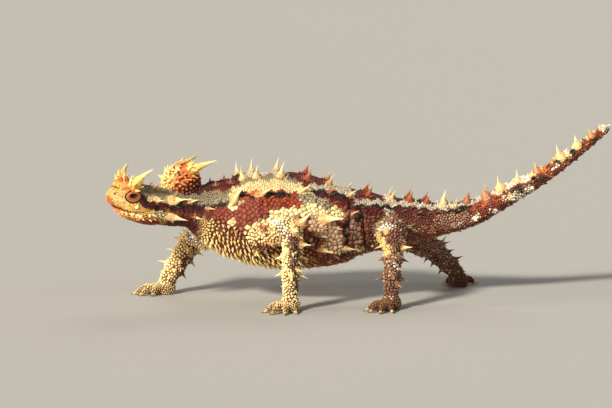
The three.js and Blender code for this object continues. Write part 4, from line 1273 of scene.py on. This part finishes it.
def coat_pieces(name, data, tones, roots, material):
    """Splits a coat into pieces under the triangle limit and gives each its colours and bake map."""
    verts, faces, rise, per = data
    count = len(verts) // per
    tris_each = len(faces) // count
    step = MOST_TRIANGLES // tris_each
    made = []
    for number, start in enumerate(range(0, count, step)):
        end = min(count, start + step)
        v = verts[start * per : end * per]
        f = faces[start * tris_each : end * tris_each] - start * per
        piece = fast_object(f"{name}_{number + 1}", v, f, material)
        colour_points(piece, "tone", tones[start * per : end * per])
        turn = np.linspace(0, 2 * math.pi, per, endpoint=False)
        patch = PATCH_RADIUS * (1 - 0.85 * rise[start * per : end * per].reshape(-1, per))
        spread = np.stack([np.cos(turn)[None] * patch, np.sin(turn)[None] * patch], 2)
        add_uv(piece, (roots[start:end, None] + spread).reshape(-1, 2))
        made.append(piece)
    return made


SPINE_DARK = RUST * 0.95
SPINE_PALE = CREAM
THORN_RISES = (-0.2, 0.0, 0.06, 0.14, 0.26, 0.44, 0.66, 0.87)


def thorn_profile(flare):
    """A slender thorn on a flared foot."""
    rings = []
    for rise in THORN_RISES:
        left_over = 1 - max(rise, 0)
        rings.append((rise, (1 - flare) * left_over + flare * left_over**4))
    return rings


def spike_set(name, thorns, flare, sides, bend, material, tree):
    """Meshes for a list of thorns, each rooted in the skin."""
    keys = ("base", "way", "height", "radius", "lean")
    bases, ways, heights, radii, lean = (np.array([t[key] for t in thorns]) for key in keys)
    facing = ways.copy()
    for i, base in enumerate(bases):
        near, normal, _, gap = tree.find_nearest(Vector(base))
        if near is not None and gap < 2.0:
            bases[i] = 0.2 * base + 0.8 * np.array(near)
            facing[i] = unit(0.8 * np.array(normal) + 0.2 * ways[i])
    turns = np.array([3 * wobble(i, 5) for i in range(len(bases))])
    data = rings_mesh(bases, ways, lean, radii, heights, thorn_profile(flare), sides, turns, bend, facing)
    tones, names, own, zones = paint(bases)
    for i, t in enumerate(thorns):
        if "pale" in t:
            tones[i] = mix(SPINE_DARK, SPINE_PALE, t["pale"])
    roots = atlas_place(bases, names, own, zones)
    # Each thorn's foot is darkened as painted shade; its tip is paler.
    shades = graded(np.repeat(tones, data[3], axis=0), data[2], 0.88, 0.7)
    return coat_pieces(name, data, shades, roots, material)


def lean_of(points, names, own, zones):
    """The direction in which the coat of each point lies."""
    lean = np.tile(-FORWARD, (len(points), 1))
    for i, name in enumerate(names):
        mask = own == i
        if not mask.any() or name in ("head", "knob"):
            continue
        if name == "trunk":
            lean[mask] = TRUNK.at(zones[i][2][mask])[1]
        elif name.endswith("paw"):
            turn = LIMBS[name.split()[0]]["heading"] * DEG
            lean[mask] = (math.cos(turn), math.sin(turn), 0)
        else:
            limb, kind = name.split()
            lean[mask] = LIMB_LOFTS[limb][kind == "lower"].at(zones[i][2][mask])[1]
    return lean


def sampled(made, count, rng):
    """Random places spread evenly over a mesh, with the normal at each."""
    mesh = made.data
    mesh.calc_loop_triangles()
    corners = np.empty(len(mesh.loop_triangles) * 3, np.int32)
    mesh.loop_triangles.foreach_get("vertices", corners)
    corners = corners.reshape(-1, 3)
    points, normals = vertices_of(made), normals_of(made)
    a, b, c = (points[corners[:, k]] for k in range(3))
    area = np.linalg.norm(np.cross(b - a, c - a), axis=1)
    pick = rng.choice(len(corners), count, p=area / area.sum())
    u, v = rng.random(count), rng.random(count)
    over = u + v > 1
    u[over], v[over] = 1 - u[over], 1 - v[over]
    weights = np.stack([1 - u - v, u, v], 1)[..., None]
    place = (points[corners[pick]] * weights).sum(1)
    return place, unit((normals[corners[pick]] * weights).sum(1))


def spread_out(points, spacing):
    """Which points stay so that none has another within its spacing."""
    tree = tree_of(points)
    gone = np.zeros(len(points), bool)
    kept = []
    for i, p in enumerate(points):
        if gone[i]:
            continue
        kept.append(i)
        for _, j, _ in tree.find_range(p, spacing[i]):
            gone[j] = True
    return np.array(kept)


def cell_radii(points, ways, lean, spacing, turns, sides, gap):
    """How far each scale reaches on each side before it meets its neighbours' scales."""
    tree = tree_of(points)
    near = np.array([[j for _, j, _ in tree.find_n(p, 10)][1:] for p in points])
    offset = points[near] - points[:, None]
    first, second = frames_of(ways, lean)
    a, b = (offset * first[:, None]).sum(2), (offset * second[:, None]).sum(2)
    turn = np.linspace(0, 2 * math.pi, sides, endpoint=False)[None] + turns[:, None]
    along = a[:, None] * np.cos(turn)[..., None] + b[:, None] * np.sin(turn)[..., None]
    half = (a**2 + b**2)[:, None] / (2 * np.maximum(along, 1e-3))
    reach = half.min(2)
    return np.clip(reach, 0.35 * spacing[:, None], 0.82 * spacing[:, None]) - gap


# Scales of each part: spacing, height as a share of it, how pointed
SCALES = {
    "head": (0.42, 0.2, 0.12),
    "knob": (1.1, 0.5, 0.55),
    "trunk": (0.5, 0.24, 0.14),
    "upper": (0.86, 0.44, 0.35),
    "lower": (0.8, 0.44, 0.35),
    "paw": (0.55, 0.42, 0.32),
}


def scale_sizes(points, names, own, zones):
    """Spacing, height and sharpness of the scale at each place."""
    spacing, tall, sharp = (np.zeros(len(points)) for _ in range(3))
    for i, name in enumerate(names):
        mask = own == i
        s, h, p = SCALES[name.split()[-1]]
        spacing[mask], tall[mask], sharp[mask] = s, h, p
        if name == "head":
            local = points[mask] - HEAD_BACK
            jaw = smooth(0.5, -2.5, local[:, 2]) * smooth(13.5, 11.0, local @ FORWARD)
            spacing[mask] = s + 0.26 * jaw
            tall[mask] = h + 0.2 * jaw
            sharp[mask] = p + 0.06 * jaw
        if name != "trunk":
            continue
        share, down = zones[i][2][mask], np.abs(zones[i][3][mask]) / math.pi
        x = points[mask][:, 0]
        body = smooth(0.1, 0.16, share) * smooth(0.52, 0.46, share)
        flank = smooth(0.3, 0.38, down) * smooth(0.7, 0.6, down) * body
        chest = smooth(0.5, 0.6, down) * body * smooth(6, -4, x)
        belly = smooth(0.6, 0.7, down) * body * smooth(-4, 6, x)
        tail = smooth(0.3, 0.42, down) * smooth(0.46, 0.52, share)
        patches = 0.5 + 0.5 * np.sin(0.42 * x + 2.1 * np.sin(7 * down)) * np.sin(9 * down + 0.3 * x)
        plates = (0.4 + 0.6 * patches) * flank * (1 - chest)
        spacing[mask] = s + plates + 0.9 * chest + 0.5 * belly + 0.18 * tail
        tall[mask] = h + 0.04 * flank + 0.72 * chest + 0.2 * belly + 0.1 * tail
        sharp[mask] = p - 0.03 * flank + 0.85 * chest + 0.4 * belly + 0.15 * tail
    return spacing, tall, sharp.clip(0, 1)


def evened(made, values, rounds):
    """Values of a mesh's points, averaged with their neighbours'."""
    edges = np.empty(len(made.data.edges) * 2, np.int32)
    made.data.edges.foreach_get("vertices", edges)
    a, b = edges.reshape(-1, 2).T
    count = np.bincount(a, minlength=len(values)) + np.bincount(b, minlength=len(values))
    for _ in range(rounds):
        total = np.bincount(a, values[b], len(values)) + np.bincount(b, values[a], len(values))
        values = 0.5 * values + 0.5 * total / np.maximum(count, 1)
    return values


def kept_clear(points, keep_off):
    """False near each (centre, radius)."""
    clear = np.ones(len(points), bool)
    for centre, radius in keep_off:
        clear &= ((points - centre) ** 2).sum(1) > radius**2
    return clear


def clear_of_face(points):
    local = points - HEAD_BACK
    ahead, up = local @ FORWARD, local[:, 2]
    clear = ~((ahead > 2.5) & (ahead < 15) & (stroke(ahead, up, MOUTH_LINE, 0.26, 0.1) > 0.5))
    for side in (-1, 1):
        look, wide, tall = eye_axes(side)
        offset = points - EYES[side]
        round_ = np.hypot((offset @ wide) / LID_OUTER[0], (offset @ tall) / LID_OUTER[1])
        clear &= ~((round_ < 1) & (offset @ look > -0.5) & (np.linalg.norm(offset, axis=1) < 5))
        for hollow, bare in zip(face_hollows(side), (0.75, 1.2)):
            clear &= np.linalg.norm(points - hollow, axis=1) > bare
    return clear


# Eyes and lids


def eye_mesh(side):
    look, wide, tall = eye_axes(side)
    verts, faces = ball_mesh((0, 0, 0), (1, 1, 1), 0, 64, 48)
    turned = verts[:, :1] * wide + verts[:, 1:2] * tall + verts[:, 2:] * look
    return turned * EYE_RADIUS + EYES[side], faces, (1 + verts[:, 2]) / 2


LID_STEPS = (0, 0.06, 0.15, 0.28, 0.42, 0.56, 0.7, 0.84, 1.0)
LID_DEPTHS = (2.14, 2.36, 2.5, 2.5, 2.42, 2.28, 2.12, 1.9, 1.4)
LID_INNER = (1.0, 0.5)
LID_OUTER = (2.85, 2.2)
LID_RAISED = 0.42


def lid_mesh(side, around=96, rows=26):
    look, wide, tall = eye_axes(side)
    phi = np.linspace(0, 2 * math.pi, around, endpoint=False)
    verts, shares = [], []
    for k in np.linspace(0, 1, rows):
        half_wide, half_tall = (mix(LID_INNER[i], LID_OUTER[i], k) for i in range(2))
        depth = np.interp(k, LID_STEPS, LID_DEPTHS)
        crease = 0.09 * np.sin(k * 24 + 0.6 * np.sin(phi)) * smooth(0.1, 0.25, k)
        beads = 0.07 * np.abs(np.sin(17 * phi + 9 * k)) * smooth(0.12, 0.3, k)
        lift = depth + crease + beads
        across, rise = np.cos(phi) * half_wide, np.sin(phi) * np.abs(np.sin(phi)) ** 0.2 * half_tall
        ring = EYES[side] + np.outer(across, wide) + np.outer(rise + LID_RAISED * (1 - k), tall)
        verts.append(ring + lift[:, None] * look)
        shares.append(np.full(around, k))
    faces = [(a, b, b + around, a + around) for a, b in ring_pairs(rows, around)]
    return np.vstack(verts), faces, np.concatenate(shares)


LID_COLOURS = [
    (0, BLACK),
    (0.08, MAROON * 0.6),
    (0.18, RUST),
    (0.28, srgb(150, 74, 42)),
    (0.38, srgb(200, 120, 66)),
    (0.46, srgb(96, 44, 28)),
    (0.54, srgb(206, 132, 72)),
    (0.7, srgb(190, 112, 60)),
    (0.82, BLACK),
    (1, BLACK),
]


def ramped(shares, colours):
    places = [k for k, _ in colours]
    return np.stack([np.interp(shares, places, [c[i] for _, c in colours]) for i in range(3)], 1)


# White beads of the cheek, in pixels, with their sizes
CHEEK_BEADS = [
    (140.7, 207, 0.7),
    (136.5, 214, 0.55),
    (138, 217.5, 0.55),
    (141.5, 215, 0.5),
    (144.3, 217, 0.65),
    (153.5, 215.5, 0.6),
]

# Horns and claws


HORN_SPURS = [
    (10, 0.05, 2.0),
    (55, 0.2, 1.7),
    (95, 0.08, 1.9),
    (140, 0.26, 1.5),
    (180, 0.05, 2.0),
    (225, 0.22, 1.6),
    (265, 0.1, 1.9),
    (315, 0.3, 1.5),
]
HORN_COLOURS = [(0, ORANGE * 0.7), (0.1, ORANGE), (0.26, YELLOW), (0.7, STRAW), (1, CREAM)]
CLAW_COLOURS = [(0, YELLOW * 0.8), (0.4, CREAM * 0.8), (0.75, BROWN), (1, BROWN * 0.6)]


def turned_about(v, axis, angle):
    c, s = math.cos(angle), math.sin(angle)
    return v * c + np.cross(axis, v) * s + axis * (v @ axis) * (1 - c)


def horn_parts(root, tip, radius, around=28, rows=30):
    """A horn curved backwards, with growth rings and spurs round its foot: vertices, faces, rise."""
    back = -FORWARD
    way = unit(tip - root)
    length = np.linalg.norm(tip - root)
    straight = unit(way - 0.5 * back)
    first = unit(np.cross(straight, back))
    second = np.cross(straight, first)
    phi = np.linspace(0, 2 * math.pi, around, endpoint=False)
    verts, rise = [], []
    for z in np.linspace(-0.25, 0.985, rows):
        over = max(z, 0)
        r = radius * (0.8 * (1 - over) ** 0.9 + 0.2 * (1 - over) ** 5)
        rings = 0.07 * np.sin(30 * z + 1.2 * np.sin(2 * phi))
        flutes = 1 + (0.13 * np.cos(7 * phi + 1.5 * z) + rings) * (1 - over)
        centre = root + straight * length * z + 0.5 * back * length * over**2
        x, y = np.cos(phi) * r * flutes, np.sin(phi) * r * flutes
        verts.append(centre + x[:, None] * first + y[:, None] * second)
        rise.append(np.full(around, over))
    faces = [(a, b, b + around, a + around) for a, b in ring_pairs(rows, around)]
    verts.append((root + straight * length + 0.5 * back * length)[None])
    rise.append(np.array([1.0]))
    top = rows * around
    faces += [((rows - 1) * around + k, (rows - 1) * around + (k + 1) % around, top) for k in range(around)]
    verts.append((root - 0.25 * straight * length)[None])
    rise.append(np.array([0.0]))
    faces += [((k + 1) % around, k, top + 1) for k in range(around)]
    verts, rise = [np.vstack(verts)], [np.concatenate(rise)]
    across = unit(np.cross(way, back))
    count = len(verts[0])
    for turn, high, size in HORN_SPURS:
        out = turned_about(across, way, turn * DEG)
        foot = root + straight * high * length + out * radius * 0.75 * (1 - high)
        data = rings_mesh(
            foot[None], unit(out + 0.8 * way)[None], -out[None], np.array([0.9]), np.array([1.25 * size]),
            thorn_profile(0.4), 12, np.zeros(1), 0.25,
        )
        verts.append(data[0])
        faces += [tuple(f + count) for f in data[1]]
        rise.append(0.35 + 0.65 * data[2])
        count += len(data[0])
    return np.vstack(verts), faces, np.concatenate(rise)


def claw_data(limb):
    """All the claws of one paw, curved down to their tips."""
    claws = PAWS[limb][1]
    feet = np.array([foot - 0.25 * way for foot, way, _ in claws])
    ways = np.array([unit(way + [0, 0, 0.22]) for _, way, _ in claws])
    lengths = np.array([length + 0.1 for _, _, length in claws])
    down = np.tile([0.0, 0.0, -1.0], (len(claws), 1))
    profile = [(-0.2, 0.8), (0, 1), (0.2, 0.88), (0.4, 0.7), (0.6, 0.5), (0.8, 0.28), (0.93, 0.12)]
    wide, turns = np.full(len(claws), CLAW_RADIUS), np.zeros(len(claws))
    return rings_mesh(feet, ways, down, wide, lengths, profile, 12, turns, 0.3)


# The scene


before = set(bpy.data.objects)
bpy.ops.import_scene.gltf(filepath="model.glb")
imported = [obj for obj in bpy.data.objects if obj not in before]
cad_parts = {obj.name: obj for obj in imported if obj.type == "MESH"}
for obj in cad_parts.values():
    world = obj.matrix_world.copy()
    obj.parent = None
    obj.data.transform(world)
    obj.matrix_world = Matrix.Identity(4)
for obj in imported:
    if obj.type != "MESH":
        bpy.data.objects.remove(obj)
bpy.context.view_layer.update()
eye_low, eye_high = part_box("eye_left")
SHIFT = np.array((eye_low + eye_high) / 2) / MM - EYES[-1]


def settle(made, slot, *nodes):
    """Moves a piece from the animal's own frame to the solids', in metres, and hands it to the frame."""
    co = (vertices_of(made) + SHIFT) * MM
    co[:, 2] = np.maximum(co[:, 2], 0)
    made.data.vertices.foreach_set("co", co.astype(np.float32).ravel())
    made.data.update()
    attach(made, "root")
    if nodes:
        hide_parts(*nodes)


skin_look = skin_material("skin", 0.62, 1500.0, 0.5, 0.4)
lid_look = skin_material("lid", 0.5, 2600.0, 0.35, 0.6)
scale_look = spike_material("scale", 0.58, 0.25)
thorn_look = spike_material("thorn", 0.4, 0.35)
horn_look = spike_material("horn", 0.42, 0.6)
claw_look = spike_material("claw", 0.3, 0.2)
eye_look = eye_material()

# Thorns of the solids, and the horns
back_thorns = trunk_thorns()
leg_thorns = limb_thorns()
face_thorns = head_thorns() + knob_thorns()
for t in back_thorns:
    t["lean"] = TRUNK.at(t["share"])[1][0]
for t in leg_thorns:
    t["lean"] = np.array([0, 0, -1.0])
for t in face_thorns:
    t["lean"] = -FORWARD
all_thorns = back_thorns + leg_thorns + face_thorns

horns = {}
for side, name in ((-1, "left"), (1, "right")):
    out = -side * LEFT
    horns[f"brow_horn_{name}"] = (in_head(6.8, -side * 5.7, 6.9), in_head(2.2, -side * 11.2, 12.4), 2.6)
    knob_tip = KNOB_CENTRE + 7.0 * out - 8.0 * FORWARD
    knob_tip[2] = 46.0
    horns[f"knob_horn_{name}"] = (KNOB_CENTRE + 3.4 * out - 1.6 * FORWARD + 3.6 * UP, knob_tip, 2.5)

skin = skin_shape()
points, normals = vertices_of(skin), normals_of(skin)
names, own, zones = paint(points)[1:]
points = fold_skin(points, normals, zones)
spacing, tall, sharp = scale_sizes(points, names, own, zones)
legs = np.array([name.endswith("lower") for name in names])[own]
points -= evened(skin, 0.85 * spacing * tall + 0.3 * legs, 20)[:, None] * normals
# Painted shade for the skin between scales: deeper where the scales are pointed.
gap_shade = evened(skin, (0.62 - 0.5 * sharp).clip(0.42, 1), 6)
for t in back_thorns + leg_thorns:
    width = 0.7 * t["radius"] + 0.75
    gap = ((points - t["base"]) ** 2).sum(1) / width**2
    near = gap < 6
    points[near] += (0.2 * t["height"] * np.exp(-gap[near]))[:, None] * t["way"]
points, dark = carve_head(points, normals)
points[:, 2] = np.maximum(points[:, 2], 0)
skin.data.vertices.foreach_set("co", points.astype(np.float32).ravel())
skin.data.update()
skin.data.shade_smooth()
tones = paint(points)[0]
tones = lay(tones, 0.5 * RUST + 0.6 * MAROON, 0.85 * smooth(0.15, 0.35, sharp))
# The skin's tone is darkened with a warm tint as painted shade: between the scales, and in the mouth line,
# nostrils, ears and eye openings.
colour_points(skin, "tone", tones * (gap_shade * (1 - 0.8 * dark))[:, None] * (1, 0.8, 0.72))
skin.data.materials.append(skin_look)
tree = BVHTree.FromPolygons([Vector(p) for p in points], [tuple(p.vertices) for p in skin.data.polygons])

rng = np.random.default_rng(SKIN_SEED)
candidates, ways = sampled(skin, SKIN_SAMPLES, rng)
names, own, zones = paint(candidates)[1:]
low = candidates[:, 2] > 0.25
keep_off = [(t["base"], 0.5 * t["radius"] + 0.1) for t in all_thorns]
keep_off += [(root, 0.8 * radius) for root, _, radius in horns.values()]
keep_off += [(foot, 0.5) for paw in PAWS.values() for foot, _, _ in paw[1]]
free = low & kept_clear(candidates, keep_off) & clear_of_face(candidates)


def picked(index):
    """The zones of some of the candidates."""
    return [(z[0], z[1][index], z[2][index], z[3][index]) for z in zones]


# Small thorns between the rows, on flanks, legs and tail
down = np.abs(zones[0][3]) / math.pi
bushy = np.zeros(len(candidates), bool)
for i, name in enumerate(names):
    if name == "trunk":
        bushy |= (own == i) & ((down > 0.34) | (zones[0][2] > 0.5)) & (zones[0][2] > 0.14)
    elif name.endswith(("upper", "lower")):
        bushy |= own == i
foot_tree = tree_of([t["base"] for t in all_thorns])
bare = np.flatnonzero(free & bushy)[:MOST_SPARSE]
sparse = np.array([i for i in bare if foot_tree.find(candidates[i])[2] > 2.2])
shoulder = own[sparse] == names.index("fore_right lower")
shoulder &= zones[names.index("fore_right lower")][2][sparse] < 0.3
fore = np.array([name.startswith("fore") for name in names])[own[sparse]]
sparse_gap = 3.0 + 0.8 * rng.random(len(sparse)) - 0.8 * fore - 1.1 * shoulder
kept = spread_out(candidates[sparse], sparse_gap)
sparse, shoulder, fore = sparse[kept], shoulder[kept], fore[kept]
small_lean = lean_of(candidates[sparse], names, own[sparse], picked(sparse))
small = []
for n, i in enumerate(sparse):
    height = 1.3 + 0.5 * wobble(n, 1) + 1.3 * shoulder[n]
    way = unit(ways[i] + (0.7 - 1.2 * shoulder[n]) * small_lean[n])
    spine = {"base": candidates[i], "way": way, "height": height, "radius": 0.58, "lean": small_lean[n]}
    small.append(spine | ({"pale": 0.9 + 0.3 * shoulder[n]} if fore[n] else {}))

# Short spines on the front and top of the knob, and white beads on the cheeks
knob_up = (candidates - KNOB_CENTRE) / KNOB_RADII
on_knob = own == names.index("knob")
crest = np.flatnonzero(free & on_knob & (knob_up[:, 2] + 0.7 * (knob_up @ FORWARD) > 0.1))
crest = crest[spread_out(candidates[crest], np.full(len(crest), 1.7))]
for n, i in enumerate(crest):
    height = 1.9 + 0.5 * wobble(n, 2)
    way = unit(ways[i] - 0.7 * FORWARD)
    small.append({"base": candidates[i], "way": way, "height": height, "radius": 0.85, "lean": -FORWARD})
beads = []
on_head = np.flatnonzero(own == names.index("head"))
local = candidates[on_head] - HEAD_BACK
for side in (-1, 1):
    ahead, out = local @ FORWARD, -side * (local @ LEFT)
    near = HEAD_BACK + ahead[:, None] * FORWARD + out[:, None] * LEFT + local[:, 2:] * UP
    px, py = pixels(near)
    facing = -side * (ways[on_head] @ LEFT) > 0.3
    for bx, by, size in CHEEK_BEADS:
        i = on_head[np.where(facing, np.hypot(px - bx, py - by), 99).argmin()]
        bead = {"base": candidates[i], "way": ways[i], "height": size, "radius": size, "lean": -FORWARD}
        beads.append(bead | {"pale": 1.0})

# Beads round the foot of each large thorn
collar = []
for n, t in enumerate(all_thorns):
    if t["height"] < 1.6:
        continue
    first, second = frames_of(t["way"][None], np.asarray(t["lean"], float)[None])
    count = 7 if t["height"] < 2.6 else 9
    for k in range(count):
        turn = 2 * math.pi * (k + 0.3 * wobble(n, k)) / count
        out = math.cos(turn) * first[0] + math.sin(turn) * second[0]
        near, normal, _, _ = tree.find_nearest(Vector(t["base"] + out * (t["radius"] * 1.05 + 0.25)))
        height = (0.14 + 0.04 * wobble(n, k, 2)) * t["height"] + 0.2
        way = unit(np.array(normal) + 0.5 * t["way"])
        collar.append({"base": np.array(near), "way": way, "height": height, "radius": 0.42, "lean": -out})
clear = clear_of_face(np.array([c["base"] for c in collar]))
collar = [c for c, good in zip(collar, clear) if good]

for group, items, flare, sides, bend in (
    ("spines_crest", back_thorns[: 2 * len(TOP_SPINES)], 0.76, 12, 0.14),
    ("thorns_sides", back_thorns[2 * len(TOP_SPINES) :], 0.42, 12, 0.16),
    ("thorns_legs", leg_thorns, 0.5, 10, 0.12),
    ("thorns_head", face_thorns, 0.4, 10, 0.14),
    ("thorns_small", small, 0.4, 8, 0.2),
    ("beads_cheek", beads, -0.6, 10, 0),
    ("thorns_collar", collar, 0.1, 7, 0.1),
):
    for made in spike_set(group, items, flare, sides, bend, thorn_look, tree):
        settle(made, "skin_trunk")

# Scales
keep_off = [(t["base"], 0.4 * t["radius"] + 0.1) for t in small + beads] + [(t["base"], 0.3) for t in collar]
free &= kept_clear(candidates, keep_off)
index = np.flatnonzero(free)
spacing, tall, sharp = scale_sizes(candidates[index], names, own[index], picked(index))
chosen = spread_out(candidates[index], spacing)
index = index[chosen]
scale_points, spacing, tall, sharp = candidates[index], spacing[chosen], tall[chosen], sharp[chosen]
lean = lean_of(scale_points, names, own[index], picked(index))
scale_ways = unit(ways[index] + 0.3 * sharp[:, None] * lean)
uneven = rng.standard_normal((len(index), 1)).clip(-1.6, 1.8)
scale_tones = paint(scale_points)[0] * (1 + (0.09 + 0.3 * sharp[:, None].clip(0, 0.3)) * uneven)
on_knob = own[index] == names.index("knob")
chance = rng.random(len(index))
lone = (chance < 0.14) * ~on_knob * smooth(0.2, 0.36, sharp) * smooth(0.6, 0.7, spacing)
scale_tones = lay(scale_tones, CREAM * 0.8, 0.6 * lone)
scale_tones = lay(scale_tones, ORANGE * 0.8, 0.6 * (chance > 0.6) * smooth(0.5, 0.8, sharp) * ~on_knob)
roots = atlas_place(scale_points, names, own[index], picked(index))
scatter = rng.standard_normal((2, len(index))).clip(-1.5, 1.5)
turns = rng.random(len(index)) * 6.3
for group, part, sides, rises in (
    ("scales_fine", spacing < 0.7, 6, (-0.3, 0.75)),
    ("scales_large", spacing >= 0.7, 9, (-0.3, 0.35, 0.72, 0.92)),
):
    s, p = spacing[part], sharp[part]
    places = scale_points[part], scale_ways[part], lean[part]
    gap = 0.045 + 0.05 * (p[:, None] > 0.3)
    radii = cell_radii(*places, s, turns[part], sides, gap) * (1 - 0.42 * p**2)[:, None]
    heights = s * tall[part] * (1 + (0.1 + 0.15 * p) * scatter[1][part] + 0.4 * lone[part])
    profile = [(rises[0], 1.0)]
    profile += [(rise, (1 - p) * (1 - rise**6) ** 0.5 + p * (1 - rise)) for rise in rises[1:]]
    data = rings_mesh(*places, radii, heights, profile, sides, turns[part], 0.4 * p)
    # The feet of pointed scales get deeper painted shade; their tips are paler.
    graded_by = (scale_tones[part], 0.9 - 0.48 * p, 0.7 * p**1.5)
    own_tones, foot, tip = (np.repeat(values, data[3], axis=0) for values in graded_by)
    shades = graded(own_tones, data[2], foot, tip)
    for made in coat_pieces(group, data, shades, roots[part], scale_look):
        settle(made, "skin_trunk")

# Eyes, lids, horns and claws
for side, name in ((-1, "left"), (1, "right")):
    verts, faces, rise = eye_mesh(side)
    made = new_object(f"eyeball_{name}", verts, faces, [eye_look])
    number_points(made, "rise", rise)
    settle(made, "eye", f"eye_{name}")
    verts, faces, shares = lid_mesh(side)
    made = new_object(f"lids_{name}", verts, faces, [lid_look])
    colour_points(made, "tone", ramped(shares, LID_COLOURS))
    settle(made, "skin_head")
for name, (root, tip, radius) in horns.items():
    verts, faces, rise = horn_parts(root, tip, radius)
    made = new_object(f"curved_{name}", verts, faces, [horn_look])
    colour_points(made, "tone", ramped(rise, HORN_COLOURS))
    settle(made, "horn", name)
for limb in LIMBS:
    verts, faces, rise, _ = claw_data(limb)
    made = new_object(f"claws_{limb}", verts, [tuple(f) for f in faces], [claw_look])
    colour_points(made, "tone", ramped(rise, CLAW_COLOURS))
    settle(made, "horn")

flesh = [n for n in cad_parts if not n.startswith(("eye_", "brow_horn", "knob_horn"))]
settle(skin, "skin_trunk", *flesh)


def placed(v):
    return Vector((np.asarray(v, float) + SHIFT) * MM)


def flat_material(name, colour, roughness):
    material, _, _, shader = principled(name)
    shader.inputs["Base Color"].default_value = (*colour, 1)
    shader.inputs["Roughness"].default_value = roughness
    return material


rim = np.linspace(0, 2 * math.pi, FLOOR_SIDES, endpoint=False)
edge = [(FLOOR_RADIUS * math.cos(a), FLOOR_RADIUS * math.sin(a), 0) for a in rim]
floor_look = flat_material("floor", srgb(180, 176, 168), 0.85)
floor = new_object("floor", edge, [tuple(range(FLOOR_SIDES))], [floor_look], False)

world = bpy.data.worlds.new("studio")
bpy.context.scene.world = world
world.use_nodes = True
background = world.node_tree.nodes["Background"]
background.inputs["Color"].default_value = (*srgb(236, 238, 242), 1)
background.inputs["Strength"].default_value = 0.17


def sun_light(name, place, spread, energy, colour):
    light = bpy.data.lights.new(name, "SUN")
    light.angle = spread * DEG
    light.energy = energy
    light.color = colour
    made = bpy.data.objects.new(name, light)
    bpy.context.scene.collection.objects.link(made)
    made.rotation_euler = (-Vector(place)).to_track_quat("-Z", "Y").to_euler()


sun_light("key", (-2.8, -3.4, 2.6), 8, 4.8, (1.0, 0.965, 0.885))
sun_light("low", (-3.8, -0.9, 0.7), 20, 1.9, (1.0, 0.92, 0.8))
sun_light("fill", (3.5, -3.0, 2.0), 60, 0.4, (0.9, 0.94, 1.0))
sun_light("rim", (1.5, 4.0, 3.5), 30, 0.6, (1.0, 0.97, 0.92))
bpy.context.scene.view_settings.view_transform = "Standard"

level = math.cos(CAMERA_TILT)
ahead = [math.sin(CAMERA_TURN) * level, math.cos(CAMERA_TURN) * level, -math.sin(CAMERA_TILT)]
ahead = np.array(ahead)
right = np.array([math.cos(CAMERA_TURN), -math.sin(CAMERA_TURN), 0])
above = np.cross(right, ahead)
eye = CAMERA_AIM[0] * right + CAMERA_AIM[1] * above - CAMERA_AWAY * ahead
camera = bpy.data.objects.new("camera", bpy.data.cameras.new("camera"))
bpy.context.scene.collection.objects.link(camera)
camera.data.lens = camera.data.sensor_width * CAMERA_AWAY / (PHOTO_WIDTH * PIXEL)
camera.data.clip_start = 0.01
axes = np.stack([right, above, -ahead], 1)
rows = [[*axis, place] for axis, place in zip(axes, placed(eye))]
camera.matrix_world = Matrix(rows + [[0, 0, 0, 1]])
bpy.context.scene.camera = camera
